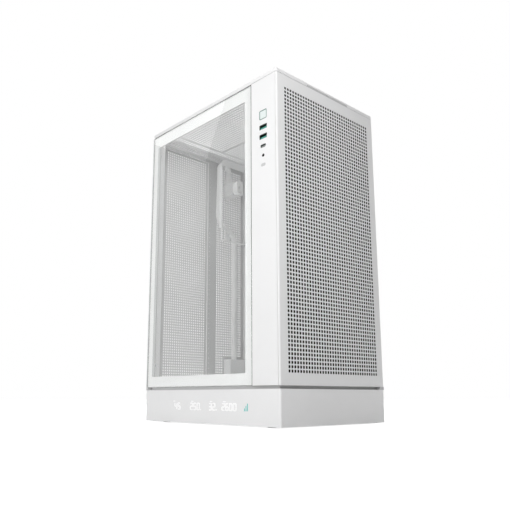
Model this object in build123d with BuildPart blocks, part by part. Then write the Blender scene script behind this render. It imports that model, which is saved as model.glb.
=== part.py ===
from build123d import *
import os
from math import pi

# A compact vertical computer tower case, empty, on a plinth with a lit display.
# X is the width (the glass side is -X), Y the depth (the front is -Y), Z is up
# from the floor. All lengths are in millimetres.

# ---- overall size
case_width = 202
case_depth = 272
case_height = 443.5
foot_height = 1.5
plinth_height = 43
shadow_gap = 4  # recessed slit between the plinth and the body
lid_height = 5
lid_seam = 0.8
ceiling_drop = 12  # from the lid's top down to the inside of the roof

# ---- sheets, walls and clearances
steel = 1.0
panel_steel = 1.2
cover_wall = 2.0
plinth_wall = 2.4
plinth_inset = 0.15
glass_thickness = 3.0
move_gap = 0.3  # round everything that slides or lifts off
side_space = 4.5  # from the outside of a side panel to the posts behind it
front_space = 3.8  # from the outside of the front panel to the posts behind it
edge_radius = 2.2

# ---- perforated sheet: square holes on a square grid, made here as slots of the same open area,
# one for each row at the front and one for two rows of the finer holes elsewhere
front_pitch = 5.0
front_hole = 3.3
front_margin_x = 13  # least plain sheet beside the front's field
front_margin_z = 14
front_field_drop = 0.95  # from the body's middle down to the field's middle
filter_margin = 0.8  # past the field on every side
filter_thickness = 0.8
fine_pitch = 4.0
fine_hole = 2.5
fine_rows_in_slot = 2

# ---- glass side
pillar_width = 45.9
pillar_seam = 0.8
glass_rear_margin = 1.5
border_front = 13
border_rear = 17
border_bottom = 15
border_top = 20

# ---- controls on the pillar, from the front edge and down from the lid's top
control_line = 24.4
button_drop = 56
button_width = 13.0
button_height = 12.5
button_corner = 1.6
button_ring_width = 0.9
button_travel = 1.2
usb_a_drops = [72.8, 85.7]
usb_a_width = 12.5
usb_a_height = 5.5
usb_wall = 0.4
usb_tongue_width = 10.9
usb_tongue_thickness = 1.84
usb_c_drop = 98.4
usb_c_width = 8.9
usb_c_height = 3.4
usb_c_tongue_width = 6.7
usb_c_tongue_thickness = 0.7
jack_drop = 111.1
jack_radius = 1.78
jack_collar = 3.0
jack_depth = 12.5
status_drop = 123.6
status_width = 8.0
status_height = 4.0
fit_gap = 0.1  # round the sockets in the pillar
board_thickness = 1.6
switch_size = 6.0
switch_height = 2.2
switch_radius = 1.4
io_board_width = 24
io_board_margin = 12  # past the button and the status window

# ---- display in the plinth's left wall
display_front = 48  # from the front face to the display's near end
display_length = 162
display_height = 22
display_z = 24.5
diffuser_thickness = 1.2
display_border = 5

# ---- rear wall
rear_recess = 4  # the rear sheet stands this far inside the rear edge
rear_rim = 1.2
field_a_left = 25  # from the case's left side
field_a_right = 95  # from its right side, as are the next three
field_b_left = 73
field_b_right = 17
post_hole_inset = 87
edge_hole_inset = 19.4  # from the left side
rear_field_margin = 7.5  # from the body's bottom and from the roof
post_hole_radius = 0.9
post_hole_pitch = 8

# ---- roof and lid
roof_left_inset = [19, 104]  # of the left field, from the left side and from the right side
roof_right_inset = [90, 22]  # of the right field, both from the right side
roof_front_inset = 28
roof_left_rear_inset = 39
roof_right_rear_inset = 28
lid_field_margin = 26
lid_notch_length = 85
lid_notch = 2.5

# ---- motherboard tray and base
tray_inset = 13  # from the right side
tray_front = 10  # from the front face
standoff_height = 6.5
standoff_radius = 2.5
board_screw_radius = 1.5
board_size = 170
board_rear_gap = 18  # from the board's edge to the rear sheet
board_bottom_gap = 12
board_holes_y = 157.48
board_holes_z = 154.94
board_hole_edge_y = 6.35
board_hole_edge_z = 10.16
io_length = 158.8
io_width = 44.5
io_edge = 5
slot_pitch = 20.32
slot_gap = 10  # from the sockets' opening to the middle of the first slot
slot_front_room = 5  # at least, between the front post and the last slot cover
slot_opening = 13
slot_length = 112
slot_cover_width = 18.4
slot_cover_length = 120
slot_cover_thickness = 0.9
slot_wall_gap = 9  # from the tray to the slots
slot_screw_radius = 1.6
thumb_radius = 3.4

# ---- power supply bracket and mains lead
bracket_gap = 33  # in front of the rear sheet
bracket_side = 12.9  # wider than the supply's face
bracket_border = 8  # above and below it
bracket_top_gap = 6
bracket_plate = 11.5  # height of the plate along its top
bracket_strip = 2
bracket_stile = 9.7
bracket_flange_inset = [22, 14]
bracket_flange_depth = 11.3  # beside the tray
bracket_lip_depth = 5.2  # at the other side
bracket_corner = 9
supply_width = 63.5
supply_height = 125
supply_hole_edge = 6
supply_hole_radius = 1.8
supply_tab = [10, 6]  # width, and reach past the hole
lead_radius = 4.25
lead_inset = 24.8  # from the tray
lead_gap = 6  # from the lead's middle to the rear sheet
lead_top_gap = 4.8  # from the roof to the lead's middle
lead_turn = 20  # from the lead's left run to the plug
lead_sway = 3
lead_loop_drop = 110.5
lead_top = 122.5  # from the roof down to the top of the lead's straight run
lead_bends = [9.9, 9.9, 20, 24]
plug_inset = 41.5
plug_gap = 10  # from the rear sheet to where the lead enters the plug
plug_drop = 50.5  # from the roof to the plug's middle
plug_back = 2.5
plug_length = 26
plug_width = 15
plug_height = 25
plug_nose = 11
plug_nose_size = [13, 23]
plug_nose_corner = 4
relief_height = 19.5
relief_radii = [6.9, 5.4]
relief_rib = [3.6, 1.8]  # pitch and thickness
contact_spacing = 7
contact_offset = 4
inlet_gap = 2  # from the tray
inlet_width = 39.5
inlet_height = 45.3
inlet_depth = 16
inlet_wall = 1.5
inlet_middle = 22.3  # above the base
inlet_opening_x = 19.8
inlet_opening_z = 27.4
inlet_flange = 2.5

# ---- snaps that hold the panels and the lid
snap_radius = 2.4
snap_reach = 4.5  # how deep a stud stands in its socket
snap_wall = 1.8
snap_socket_height = 4
snap_low = 31.5  # above the body's bottom
snap_high = 32.7  # below the side panels' top

# ---- where the faces lie
left = -case_width / 2
right = case_width / 2
front = -case_depth / 2
rear = case_depth / 2
plinth_top = foot_height + plinth_height
body_bottom = plinth_top + shadow_gap
lid_bottom = case_height - lid_height
panel_top = lid_bottom - lid_seam
ceiling = case_height - ceiling_drop
base_top = body_bottom + panel_steel
roof_top = ceiling + panel_steel
body_height = panel_top - body_bottom
body_middle = (panel_top + body_bottom) / 2
tray_x = right - tray_inset
button_z = case_height - button_drop
usb_a_z = [case_height - drop for drop in usb_a_drops]
usb_c_z = case_height - usb_c_drop
jack_z = case_height - jack_drop
status_z = case_height - status_drop
post_outer = case_width / 2 - side_space
post_front = front + front_space
rear_face = rear - rear_recess  # inside of the rear sheet
front_slot = front_hole * front_hole / front_pitch
slot_spacing = fine_pitch * fine_rows_in_slot
fine_slot = fine_rows_in_slot * fine_hole * fine_hole / fine_pitch
snap_outer = snap_radius + move_gap + snap_wall

os.makedirs("parts", exist_ok=True)


def save(builder, name):
    builder.part.label = name
    export_step(builder.part, f"parts/{name}.step")


def block(x, y, z, mode=Mode.ADD):
    # A box between pairs of x, y and z in the part that is open.
    with Locations(((x[0] + x[1]) / 2, (y[0] + y[1]) / 2, (z[0] + z[1]) / 2)):
        Box(x[1] - x[0], y[1] - y[0], z[1] - z[0], mode=mode)


def facing_left(x):
    # Local x runs towards the front, local y up, and the normal points to -X.
    return Plane(origin=(x, 0, 0), x_dir=(0, -1, 0), z_dir=(-1, 0, 0))


def facing_front(y):
    # Local x is X, local y is Z, and the normal points to -Y.
    return Plane(origin=(0, y, 0), x_dir=(1, 0, 0), z_dir=(0, -1, 0))


def mesh_field(x, y):
    # The slots of a finely perforated field, cut from the sketch that is open.
    with Locations(((x[0] + x[1]) / 2, (y[0] + y[1]) / 2)):
        with GridLocations(1, slot_spacing, 1, int((y[1] - y[0]) // slot_spacing)):
            Rectangle(x[1] - x[0], fine_slot, mode=Mode.SUBTRACT)


# ==== plinth
plinth_x = case_width / 2 - plinth_inset
deck = 2.0
deck_border = 16
boss_radius = 4.5
boss_edge = 9.5
screw_hole = 1.3
cable_exit_left = 23
cable_exit_right = 61
cable_exit_x = [left + cable_exit_left, right - cable_exit_right]
cable_exit_z = [9, 36]
floor_slot = [90, 14]
floor_slot_gap = 62  # from the rear face
boss_places = [
    (x * (plinth_x - boss_edge), y * (rear - boss_edge)) for x in (-1, 1) for y in (-1, 1)
]
display_y = [front + display_front, front + display_front + display_length]
display_zs = [display_z - display_height / 2, display_z + display_height / 2]
pocket_x = -plinth_x + plinth_wall - diffuser_thickness

with BuildPart() as plinth_shell:
    with BuildSketch(Plane.XY.offset(foot_height)):
        RectangleRounded(2 * plinth_x, case_depth, edge_radius)
    extrude(amount=plinth_height)
    with BuildSketch(Plane.XY.offset(foot_height)):
        Rectangle(2 * (plinth_x - plinth_wall), case_depth - 2 * plinth_wall)
    extrude(amount=plinth_height - deck, mode=Mode.SUBTRACT)
    with BuildSketch(Plane.XY.offset(plinth_top - deck)):
        RectangleRounded(2 * (plinth_x - deck_border), case_depth - 2 * deck_border, 6)
    extrude(amount=deck, mode=Mode.SUBTRACT)
    with Locations(Plane.XY.offset(foot_height + panel_steel)):
        with Locations(boss_places):
            Cylinder(
                boss_radius,
                plinth_height - panel_steel - deck,
                align=(Align.CENTER, Align.CENTER, Align.MIN),
            )
            Cylinder(screw_hole, 12, align=(Align.CENTER, Align.CENTER, Align.MIN), mode=Mode.SUBTRACT)
    block(cable_exit_x, [rear - plinth_wall - 1, rear + 1], cable_exit_z, Mode.SUBTRACT)
    block([pocket_x, pocket_x + diffuser_thickness], display_y, display_zs, Mode.SUBTRACT)
save(plinth_shell, "plinth_shell")

floor_x = plinth_x - plinth_wall - move_gap
floor_y = case_depth / 2 - plinth_wall - move_gap
with BuildPart() as plinth_floor:
    with BuildSketch(Plane.XY.offset(foot_height)):
        RectangleRounded(2 * floor_x, 2 * floor_y, 4)
        with Locations(boss_places):
            Circle(screw_hole + 0.3, mode=Mode.SUBTRACT)
        with Locations((0, rear - floor_slot_gap)):
            SlotOverall(*floor_slot, mode=Mode.SUBTRACT)
    extrude(amount=panel_steel)
save(plinth_floor, "plinth_floor")

screw_head = 0.9
with BuildPart() as floor_screws:
    with Locations(Plane.XY.offset(foot_height)):
        with Locations(boss_places):
            Cylinder(
                screw_hole - 0.1, panel_steel + 10, align=(Align.CENTER, Align.CENTER, Align.MIN)
            )
            Cylinder(2.8, screw_head, align=(Align.CENTER, Align.CENTER, Align.MAX))
save(floor_screws, "floor_screws")

foot_length = 36
foot_width = 14
foot_edge = 30
with BuildPart() as feet:
    with BuildSketch():
        with GridLocations(case_width - 2 * foot_edge, case_depth - 2 * foot_edge, 2, 2):
            RectangleRounded(foot_length, foot_width, foot_width / 2 - 0.5)
    extrude(amount=foot_height)
    chamfer(feet.faces().sort_by(Axis.Z)[:4].edges(), 0.4)
save(feet, "feet")

with BuildPart() as display_diffuser:
    block([pocket_x, pocket_x + diffuser_thickness], display_y, display_zs)
save(display_diffuser, "display_diffuser")

board_x = pocket_x + diffuser_thickness
display_holes = [
    (-(front + display_front + display_length / 2) + y * (display_length / 2 + 2.4), display_z)
    for y in (-1, 1)
]
with BuildPart() as display_board:
    with BuildSketch(facing_left(board_x + board_thickness)):
        with Locations((-(display_y[0] + display_y[1]) / 2, display_z)):
            Rectangle(display_length + 2 * display_border, display_height + display_border)
        with Locations(display_holes):
            Circle(screw_hole, mode=Mode.SUBTRACT)
    extrude(amount=board_thickness)
    fillet(display_board.edges().filter_by(Axis.X).group_by(Axis.Z)[0], 1.0)
save(display_board, "display_board")

with BuildPart() as display_screws:
    with BuildSketch(facing_left(board_x + board_thickness)):
        with Locations(display_holes):
            Circle(screw_hole - 0.1)
    extrude(amount=board_thickness)
    with BuildSketch(facing_left(board_x + board_thickness)):
        with Locations(display_holes):
            Circle(2.4)
    extrude(amount=-1.4)
save(display_screws, "display_screws")

# ==== neck, the recessed ring between the plinth and the body
neck_inset = 7
neck_wall = 1.5
neck_rear = rear - 3
pad_front = 8  # solid corner pads that end the slit
pad_rear = 4
neck_x = case_width / 2 - neck_inset
neck_front = front + neck_inset
with BuildPart() as plinth_neck:
    with BuildSketch(Plane.XY.offset(plinth_top)):
        with Locations((0, (neck_front + neck_rear) / 2)):
            Rectangle(2 * neck_x, neck_rear - neck_front)
        with Locations((plinth_x - pad_front / 2, front + pad_front / 2)):
            Rectangle(pad_front, pad_front)
        for side in (-1, 1):
            with Locations((side * (plinth_x - pad_front / 2), rear - pad_rear / 2)):
                Rectangle(pad_front, pad_rear)
        with Locations((0, (neck_front + neck_rear) / 2)):
            Rectangle(
                2 * (neck_x - neck_wall), neck_rear - neck_front - 2 * neck_wall, mode=Mode.SUBTRACT
            )
    extrude(amount=shadow_gap)
save(plinth_neck, "plinth_neck")

# ==== base plate: the motherboard's sockets and the card slots look down into the plinth
board_face = tray_x - standoff_height - board_thickness
board_rear = rear_face - board_rear_gap
board_bottom = base_top + board_bottom_gap
io_x = [board_face - io_width + 2.2, board_face + 2.2]
io_y = [board_rear - io_edge - io_length, board_rear - io_edge]
slot_x = [tray_x - slot_wall_gap - slot_length, tray_x - slot_wall_gap]
slot_room = io_y[0] - slot_gap + slot_pitch / 2 - post_front - slot_front_room
slot_y = [io_y[0] - slot_gap - slot_pitch * i for i in range(int(slot_room / slot_pitch))]
base_screws_at = [(x * (neck_x - neck_wall - 4), y * (rear - 40)) for x in (-1, 1) for y in (-1, 1)]
tab_x = slot_x[1] - slot_cover_length  # the screwed end of a slot cover
base_field_inset = 17

with BuildPart() as base_plate:
    with BuildSketch(Plane.XY.offset(body_bottom)):
        with Locations((0, (post_front + rear_face) / 2)):
            Rectangle(2 * post_outer, rear_face - post_front)
        with Locations(((io_x[0] + io_x[1]) / 2, (io_y[0] + io_y[1]) / 2)):
            RectangleRounded(io_width, io_length, 1, mode=Mode.SUBTRACT)
        for y in slot_y:
            with Locations(((slot_x[0] + slot_x[1]) / 2, y)):
                RectangleRounded(slot_length, slot_opening, 1, mode=Mode.SUBTRACT)
            with Locations((tab_x + 4, y)):
                Circle(slot_screw_radius, mode=Mode.SUBTRACT)
        mesh_field([left + base_field_inset, io_x[0] - 14], [io_y[0] + 8, io_y[1] - 6])
    extrude(amount=panel_steel)
save(base_plate, "base_plate")

with BuildPart() as slot_covers:
    for y in slot_y:
        block(
            [tab_x, slot_x[1] + 3],
            [y - slot_cover_width / 2, y + slot_cover_width / 2],
            [base_top, base_top + slot_cover_thickness],
        )
    with Locations(Plane.XY.offset(base_top)):
        with Locations([(tab_x + 4, y) for y in slot_y]):
            Cylinder(
                slot_screw_radius,
                slot_cover_thickness,
                align=(Align.CENTER, Align.CENTER, Align.MIN),
                mode=Mode.SUBTRACT,
            )
save(slot_covers, "slot_covers")

clamp_bottom = base_top + slot_cover_thickness
clamp_thickness = 1.6
clamp_width = 12
clamp_heel = 1.5
clamp_left = tab_x - 2 * clamp_heel
clamp_y = [slot_y[-1] - slot_cover_width / 2, slot_y[0] + slot_cover_width / 2]
with BuildPart() as slot_clamp:
    block([clamp_left, clamp_left + clamp_width], clamp_y, [clamp_bottom, clamp_bottom + clamp_thickness])
    block([clamp_left, clamp_left + clamp_heel], clamp_y, [base_top, clamp_bottom])
    with Locations(Plane.XY.offset(clamp_bottom)):
        with Locations([(tab_x + 4, y) for y in slot_y]):
            Cylinder(
                slot_screw_radius,
                clamp_thickness,
                align=(Align.CENTER, Align.CENTER, Align.MIN),
                mode=Mode.SUBTRACT,
            )
save(slot_clamp, "slot_clamp")

with BuildPart() as slot_screws:
    for y in slot_y:
        with BuildSketch(Plane.XY.offset(body_bottom - 1)):
            with Locations((tab_x + 4, y)):
                Circle(slot_screw_radius - fit_gap)
        extrude(amount=clamp_bottom + clamp_thickness - body_bottom + 1)
        with BuildSketch(Plane.XY.offset(clamp_bottom + clamp_thickness)):
            with Locations((tab_x + 4, y)):
                Circle(thumb_radius)
                with PolarLocations(thumb_radius, 18):
                    Circle(0.3, mode=Mode.SUBTRACT)
        extrude(amount=6)
save(slot_screws, "slot_screws")

# ==== posts, of folded sheet, from the base to the roof
leg = 24
rear_leg = 7
front_leg = 10.5
post_heights = [base_top, ceiling]
snap_heights = [body_bottom + snap_low, panel_top - snap_high]
glass_front = front + pillar_width + pillar_seam
glass_rear = rear - glass_rear_margin
post_rear = rear_face
snap_rear_y = rear_face - 12
snap_front_y = glass_front + border_front / 2
right_snap_front_y = post_front + 14
front_snap_x = post_outer - steel - snap_outer
stud_hole = snap_radius + 0.8
channel_x = left + 15  # inside face of the channel behind the controls
post_left = left + front_space - 1.3


def snap_holes_x(x, y):
    # Holes for a side panel's studs through a leg that faces along X.
    with BuildSketch(facing_left(x)) as holes:
        with Locations([(-y, z) for z in snap_heights]):
            Circle(stud_hole)
    extrude(holes.sketch, amount=steel + 1, both=True, mode=Mode.SUBTRACT)


def snap_holes_y(y, x, mode_depth):
    # Holes for the front panel's studs through a leg that faces along Y.
    with BuildSketch(facing_front(y)) as holes:
        with Locations([(x, z) for z in snap_heights]):
            Circle(stud_hole)
    extrude(holes.sketch, amount=mode_depth, both=True, mode=Mode.SUBTRACT)


with BuildPart() as front_left_post:
    block([post_left, channel_x + steel], [post_front, post_front + steel], post_heights)
    block([channel_x, channel_x + steel], [post_front, glass_front - 3], post_heights)
    block([-post_outer, channel_x + steel], [glass_front - 3 - steel, glass_front - 3], post_heights)
    block(
        [-post_outer, -post_outer + steel],
        [glass_front - 3 - steel, glass_front + border_front - 1],
        post_heights,
    )
    snap_holes_x(-post_outer, snap_front_y)
    snap_holes_y(post_front, -front_snap_x, steel + 1)
save(front_left_post, "front_left_post")

with BuildPart() as front_right_post:
    block([post_outer - steel, post_outer], [post_front, post_front + leg], post_heights)
    block([post_outer - front_leg, post_outer], [post_front, post_front + steel], post_heights)
    snap_holes_x(post_outer, right_snap_front_y)
    snap_holes_y(post_front, front_snap_x, steel + 1)
save(front_right_post, "front_right_post")

rear_posts = []
for side, name in ((-1, "rear_left_post"), (1, "rear_right_post")):
    outer = sorted([side * (post_outer - steel), side * post_outer])
    inner = sorted([side * (post_outer - rear_leg), side * post_outer])
    with BuildPart() as rear_post:
        block(outer, [post_rear - leg, post_rear], post_heights)
        block(inner, [post_rear - steel, post_rear], post_heights)
        snap_holes_x(side * post_outer, snap_rear_y)
    save(rear_post, name)

# ==== roof
lid_snap_x = post_outer - 8
lid_snap_y = [post_front + 12, rear_face - 12]
with BuildPart() as top_frame:
    with BuildSketch(Plane.XY.offset(ceiling)):
        with Locations((0, (post_front + rear_face) / 2)):
            Rectangle(2 * post_outer, rear_face - post_front)
        mesh_field(
            [left + roof_left_inset[0], right - roof_left_inset[1]],
            [front + roof_front_inset, rear - roof_left_rear_inset],
        )
        mesh_field(
            [right - roof_right_inset[0], right - roof_right_inset[1]],
            [front + roof_front_inset, rear - roof_right_rear_inset],
        )
    extrude(amount=panel_steel)
save(top_frame, "top_frame")

# ==== rear wall: two perforated fields beside a plain post, in a folded rim
field_a_x = [left + field_a_left, right - field_a_right]
field_b_x = [right - field_b_left, right - field_b_right]
rear_field_z = [body_bottom + rear_field_margin, ceiling - rear_field_margin]
inlet_left = tray_x - inlet_gap - inlet_width
inlet_top = base_top + inlet_height
field_b_step = inlet_left - 2  # the field is full height up to here, and ends above the inlet beyond it
inlet_x = inlet_left + inlet_width / 2
inlet_z = base_top + inlet_middle
rear_sheet_x = post_outer - 0.3
with BuildPart() as rear_wall:
    with BuildSketch(facing_front(rear_face)):
        with Locations((0, body_middle)):
            Rectangle(2 * rear_sheet_x, body_height)
        mesh_field(field_a_x, rear_field_z)
        mesh_field([field_b_x[0], field_b_step], rear_field_z)
        mesh_field([field_b_step + fine_pitch - fine_hole, field_b_x[1]], [inlet_top + 5, rear_field_z[1]])
        with Locations((inlet_x, inlet_z)):
            Rectangle(inlet_opening_x + 2 * fit_gap, inlet_opening_z + 2 * fit_gap, mode=Mode.SUBTRACT)
        post_hole_count = int((rear_field_z[1] - rear_field_z[0]) / post_hole_pitch) - 1
        hole_middle = sum(rear_field_z) / 2
        with Locations((right - post_hole_inset, hole_middle), (left + edge_hole_inset, hole_middle)):
            with GridLocations(1, post_hole_pitch, 1, post_hole_count):
                Circle(post_hole_radius, mode=Mode.SUBTRACT)
    extrude(amount=-steel)
    for side in (-1, 1):
        web = sorted([side * (rear_sheet_x - rear_rim), side * rear_sheet_x])
        rim = sorted([side * (rear_sheet_x - rear_rim), side * case_width / 2])
        block(web, [rear_face, rear], [body_bottom, panel_top])
        block(rim, [rear - rear_rim, rear], [body_bottom, panel_top])
save(rear_wall, "rear_wall")

# ==== motherboard tray with its stand-offs, grommets and drive bracket
board_front = board_rear - board_size
standoff_y = [board_rear - board_hole_edge_y, board_rear - board_hole_edge_y - board_holes_y]
standoff_z = [board_bottom + board_hole_edge_z, board_bottom + board_hole_edge_z + board_holes_z]
standoff_places = [(-y, z) for y in standoff_y for z in standoff_z]
grommet_length = 62
grommet_width = 22
grommet_wall = 3
grommet_lip = 1.5
grommet_first = 60.3  # above the base
grommet_pitch = 90
grommet_y = board_front - 24
grommet_places = [(-grommet_y, base_top + grommet_first + grommet_pitch * i) for i in range(3)]
cooler_y = (board_rear + board_front) / 2 + 18
cooler_z = board_bottom + board_size / 2 + 14
cooler_opening = [96, 88]
drive_drop = 101.5  # from the roof to the drive's middle
drive_z = ceiling - drive_drop
drive_holes_z = 76.6
drive_holes_y = 61.72
drive_hole_radius = 1.6
drive_plate = [78, 108]
drive_rail = 18
drive_y = grommet_y + grommet_width / 2 + grommet_lip + 1.5 + drive_plate[0] / 2
bracket_y = rear_face - bracket_gap
bracket_left = tray_x - supply_width - bracket_side
bracket_height = supply_height + 2 * bracket_border
bracket_z = [ceiling - bracket_top_gap - bracket_height, ceiling - bracket_top_gap]
bracket_screw_first = 14
bracket_screw_pitch = 38
bracket_screws_z = [bracket_z[0] + bracket_screw_first + bracket_screw_pitch * i for i in range(4)]
bracket_screw_y = bracket_y + panel_steel + bracket_flange_depth / 2
bracket_screw_places = [(-bracket_screw_y, z) for z in bracket_screws_z]
bracket_screw_radius = 1.6
bracket_screw_head = [3, 1.5]

with BuildPart() as motherboard_tray:
    tray_y = [front + tray_front, rear_face]
    with BuildSketch(facing_left(tray_x + panel_steel)):
        with Locations((-(tray_y[0] + tray_y[1]) / 2, (base_top + ceiling) / 2)):
            Rectangle(tray_y[1] - tray_y[0], ceiling - base_top)
        with Locations((-cooler_y, cooler_z)):
            RectangleRounded(*cooler_opening, 6, mode=Mode.SUBTRACT)
        with Locations(grommet_places):
            SlotOverall(grommet_length, grommet_width, rotation=90, mode=Mode.SUBTRACT)
        with Locations(bracket_screw_places):
            Circle(bracket_screw_radius, mode=Mode.SUBTRACT)
        with Locations(standoff_places):
            Circle(board_screw_radius, mode=Mode.SUBTRACT)
        with Locations((-drive_y, drive_z)):
            with GridLocations(drive_holes_y, drive_holes_z, 2, 2):
                Circle(drive_hole_radius, mode=Mode.SUBTRACT)
    extrude(amount=panel_steel)
save(motherboard_tray, "motherboard_tray")

with BuildPart() as standoffs:
    with BuildSketch(facing_left(tray_x)):
        with Locations(standoff_places):
            RegularPolygon(standoff_radius, 6, major_radius=False)
            Circle(board_screw_radius, mode=Mode.SUBTRACT)
    extrude(amount=standoff_height)
save(standoffs, "standoffs")

with BuildPart() as tray_grommets:
    with BuildSketch(facing_left(tray_x + panel_steel)):
        with Locations(grommet_places):
            SlotOverall(grommet_length, grommet_width, rotation=90)
            SlotOverall(
                grommet_length - 2 * grommet_wall,
                grommet_width - 2 * grommet_wall,
                rotation=90,
                mode=Mode.SUBTRACT,
            )
    extrude(amount=panel_steel)
    with BuildSketch(facing_left(tray_x)):
        with Locations(grommet_places):
            SlotOverall(grommet_length + 2 * grommet_lip, grommet_width + 2 * grommet_lip, rotation=90)
            SlotOverall(
                grommet_length - 2 * grommet_wall,
                grommet_width - 2 * grommet_wall,
                rotation=90,
                mode=Mode.SUBTRACT,
            )
    extrude(amount=grommet_lip)
save(tray_grommets, "tray_grommets")

with BuildPart() as drive_bracket:
    with BuildSketch(facing_left(tray_x + panel_steel)):
        with Locations((-drive_y, drive_z)):
            RectangleRounded(*drive_plate, 4)
            RectangleRounded(*[side - 2 * drive_rail for side in drive_plate], 4, mode=Mode.SUBTRACT)
            with GridLocations(drive_holes_y, drive_holes_z, 2, 2):
                Circle(drive_hole_radius, mode=Mode.SUBTRACT)
    extrude(amount=-steel)
save(drive_bracket, "drive_bracket")

# ==== power supply bracket: an open frame that faces the front, with a flange on each side
supply_x = (bracket_left + tray_x) / 2
supply_z = sum(bracket_z) / 2
supply_holes = [supply_width - 2 * supply_hole_edge, supply_height - 2 * supply_hole_edge]
supply_holes_x = [supply_x - supply_holes[0] / 2, supply_x + supply_holes[0] / 2]
opening_x = [bracket_left + panel_steel, tray_x - bracket_stile]
opening_z = [bracket_z[0] + bracket_strip, bracket_z[1] - bracket_plate]
tab_z = [supply_z - supply_holes[1] / 2 + supply_tab[1], supply_z + supply_holes[1] / 2 - supply_tab[1]]
with BuildPart() as psu_bracket:
    with BuildSketch(facing_front(bracket_y)) as ring:
        with Locations((supply_x, supply_z)):
            Rectangle(tray_x - bracket_left, bracket_z[1] - bracket_z[0])
        fillet(ring.vertices().group_by(Axis.X)[0].sort_by(Axis.Y)[-1], bracket_corner)
        with Locations((sum(opening_x) / 2, sum(opening_z) / 2)):
            Rectangle(opening_x[1] - opening_x[0], opening_z[1] - opening_z[0], mode=Mode.SUBTRACT)
        for ends in ((opening_z[0], tab_z[0]), (tab_z[1], opening_z[1])):
            with Locations([(x, sum(ends) / 2) for x in supply_holes_x]):
                Rectangle(supply_tab[0], ends[1] - ends[0])
        with Locations((supply_x, supply_z)):
            with GridLocations(*supply_holes, 2, 2):
                Circle(supply_hole_radius, mode=Mode.SUBTRACT)
    extrude(amount=-panel_steel)
    flange_y = [bracket_y, bracket_y + panel_steel + bracket_flange_depth]
    flange_z = [bracket_z[0] + bracket_flange_inset[0], bracket_z[1] - bracket_flange_inset[1]]
    lip_y = [bracket_y, bracket_y + panel_steel + bracket_lip_depth]
    block([bracket_left, bracket_left + panel_steel], lip_y, flange_z)
    block([tray_x - panel_steel, tray_x], flange_y, bracket_z)
    with BuildSketch(facing_left(tray_x)):
        with Locations(bracket_screw_places):
            Circle(bracket_screw_radius)
    extrude(amount=panel_steel, mode=Mode.SUBTRACT)
save(psu_bracket, "psu_bracket")

with BuildPart() as bracket_screws:
    with BuildSketch(facing_left(tray_x + panel_steel)):
        with Locations(bracket_screw_places):
            Circle(bracket_screw_radius - fit_gap)
    extrude(amount=2 * panel_steel)
    with BuildSketch(facing_left(tray_x - panel_steel)):
        with Locations(bracket_screw_places):
            Circle(bracket_screw_head[0])
    extrude(amount=bracket_screw_head[1])
save(bracket_screws, "bracket_screws")

# ==== mains lead: from the inlet, up the rear wall and over into the plug that hangs in the bracket
plug_x = tray_x - plug_inset
plug_y = rear_face - plug_gap
plug_z = ceiling - plug_drop
relief_top = plug_z + plug_height / 2 + relief_height
lead_x = tray_x - lead_inset
lead_y = rear_face - lead_gap
lead_loop_x = plug_x - lead_turn
lead_route = [
    (plug_x, plug_y, relief_top),
    (plug_x, plug_y, ceiling - lead_top_gap),
    (lead_loop_x, plug_y, ceiling - lead_top_gap),
    (lead_loop_x - lead_sway, plug_y, ceiling - lead_loop_drop),
    (lead_x, lead_y, ceiling - lead_top),
    (lead_x, lead_y, inlet_top),
]
with BuildPart() as ac_lead:
    with BuildLine() as route:
        FilletPolyline(*lead_route, radius=lead_bends)
    with BuildSketch(Plane(origin=route.line @ 0, z_dir=route.line % 0)):
        Circle(lead_radius)
    sweep(path=route.line)
save(ac_lead, "ac_lead")
lead_length = sum(edge.length for edge in route.edges())
print("mains lead", round(lead_length, 1), "bends", lead_bends)
print("volume over section x length", round(ac_lead.part.volume / (pi * lead_radius**2 * lead_length), 4))

plug_rear = rear_face - plug_back
plug_front = plug_rear - plug_length
plug_top = plug_z + plug_height / 2
with BuildPart() as c13_plug:
    with BuildSketch(facing_front(plug_rear)):
        with Locations((plug_x, plug_z)):
            RectangleRounded(plug_width, plug_height, 3.5)
    extrude(amount=plug_length)
    fillet(c13_plug.faces().sort_by(Axis.Y)[-1].edges(), 2.5)
    with BuildSketch(facing_front(plug_front)) as nose:
        with Locations((plug_x, plug_z)):
            Rectangle(*plug_nose_size)
        chamfer(nose.vertices().group_by(Axis.X)[0], plug_nose_corner)
    extrude(amount=plug_nose)
    rib_count = int(relief_height / relief_rib[0])
    with BuildSketch(Plane.XY.offset(plug_top - 2)):
        with Locations((plug_x, plug_y)):
            Circle(lead_radius + 0.7)
    extrude(amount=relief_top - plug_top + 2)
    for i in range(rib_count):
        rib_radius = relief_radii[0] + (relief_radii[1] - relief_radii[0]) * i / (rib_count - 1)
        with BuildSketch(Plane.XY.offset(plug_top + relief_rib[0] * (i + 1) - relief_rib[1])):
            with Locations((plug_x, plug_y)):
                Circle(rib_radius)
        extrude(amount=relief_rib[1])
    with BuildSketch(facing_front(plug_front - plug_nose)):
        with Locations((plug_x + contact_offset / 2, plug_z + contact_spacing)):
            Rectangle(2.2, 4.8)
        with Locations((plug_x + contact_offset / 2, plug_z - contact_spacing)):
            Rectangle(2.2, 4.8)
        with Locations((plug_x - contact_offset / 2, plug_z)):
            Rectangle(2.2, 4.8)
    extrude(amount=-(plug_nose + 4), mode=Mode.SUBTRACT)
save(c13_plug, "c13_plug")

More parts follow.
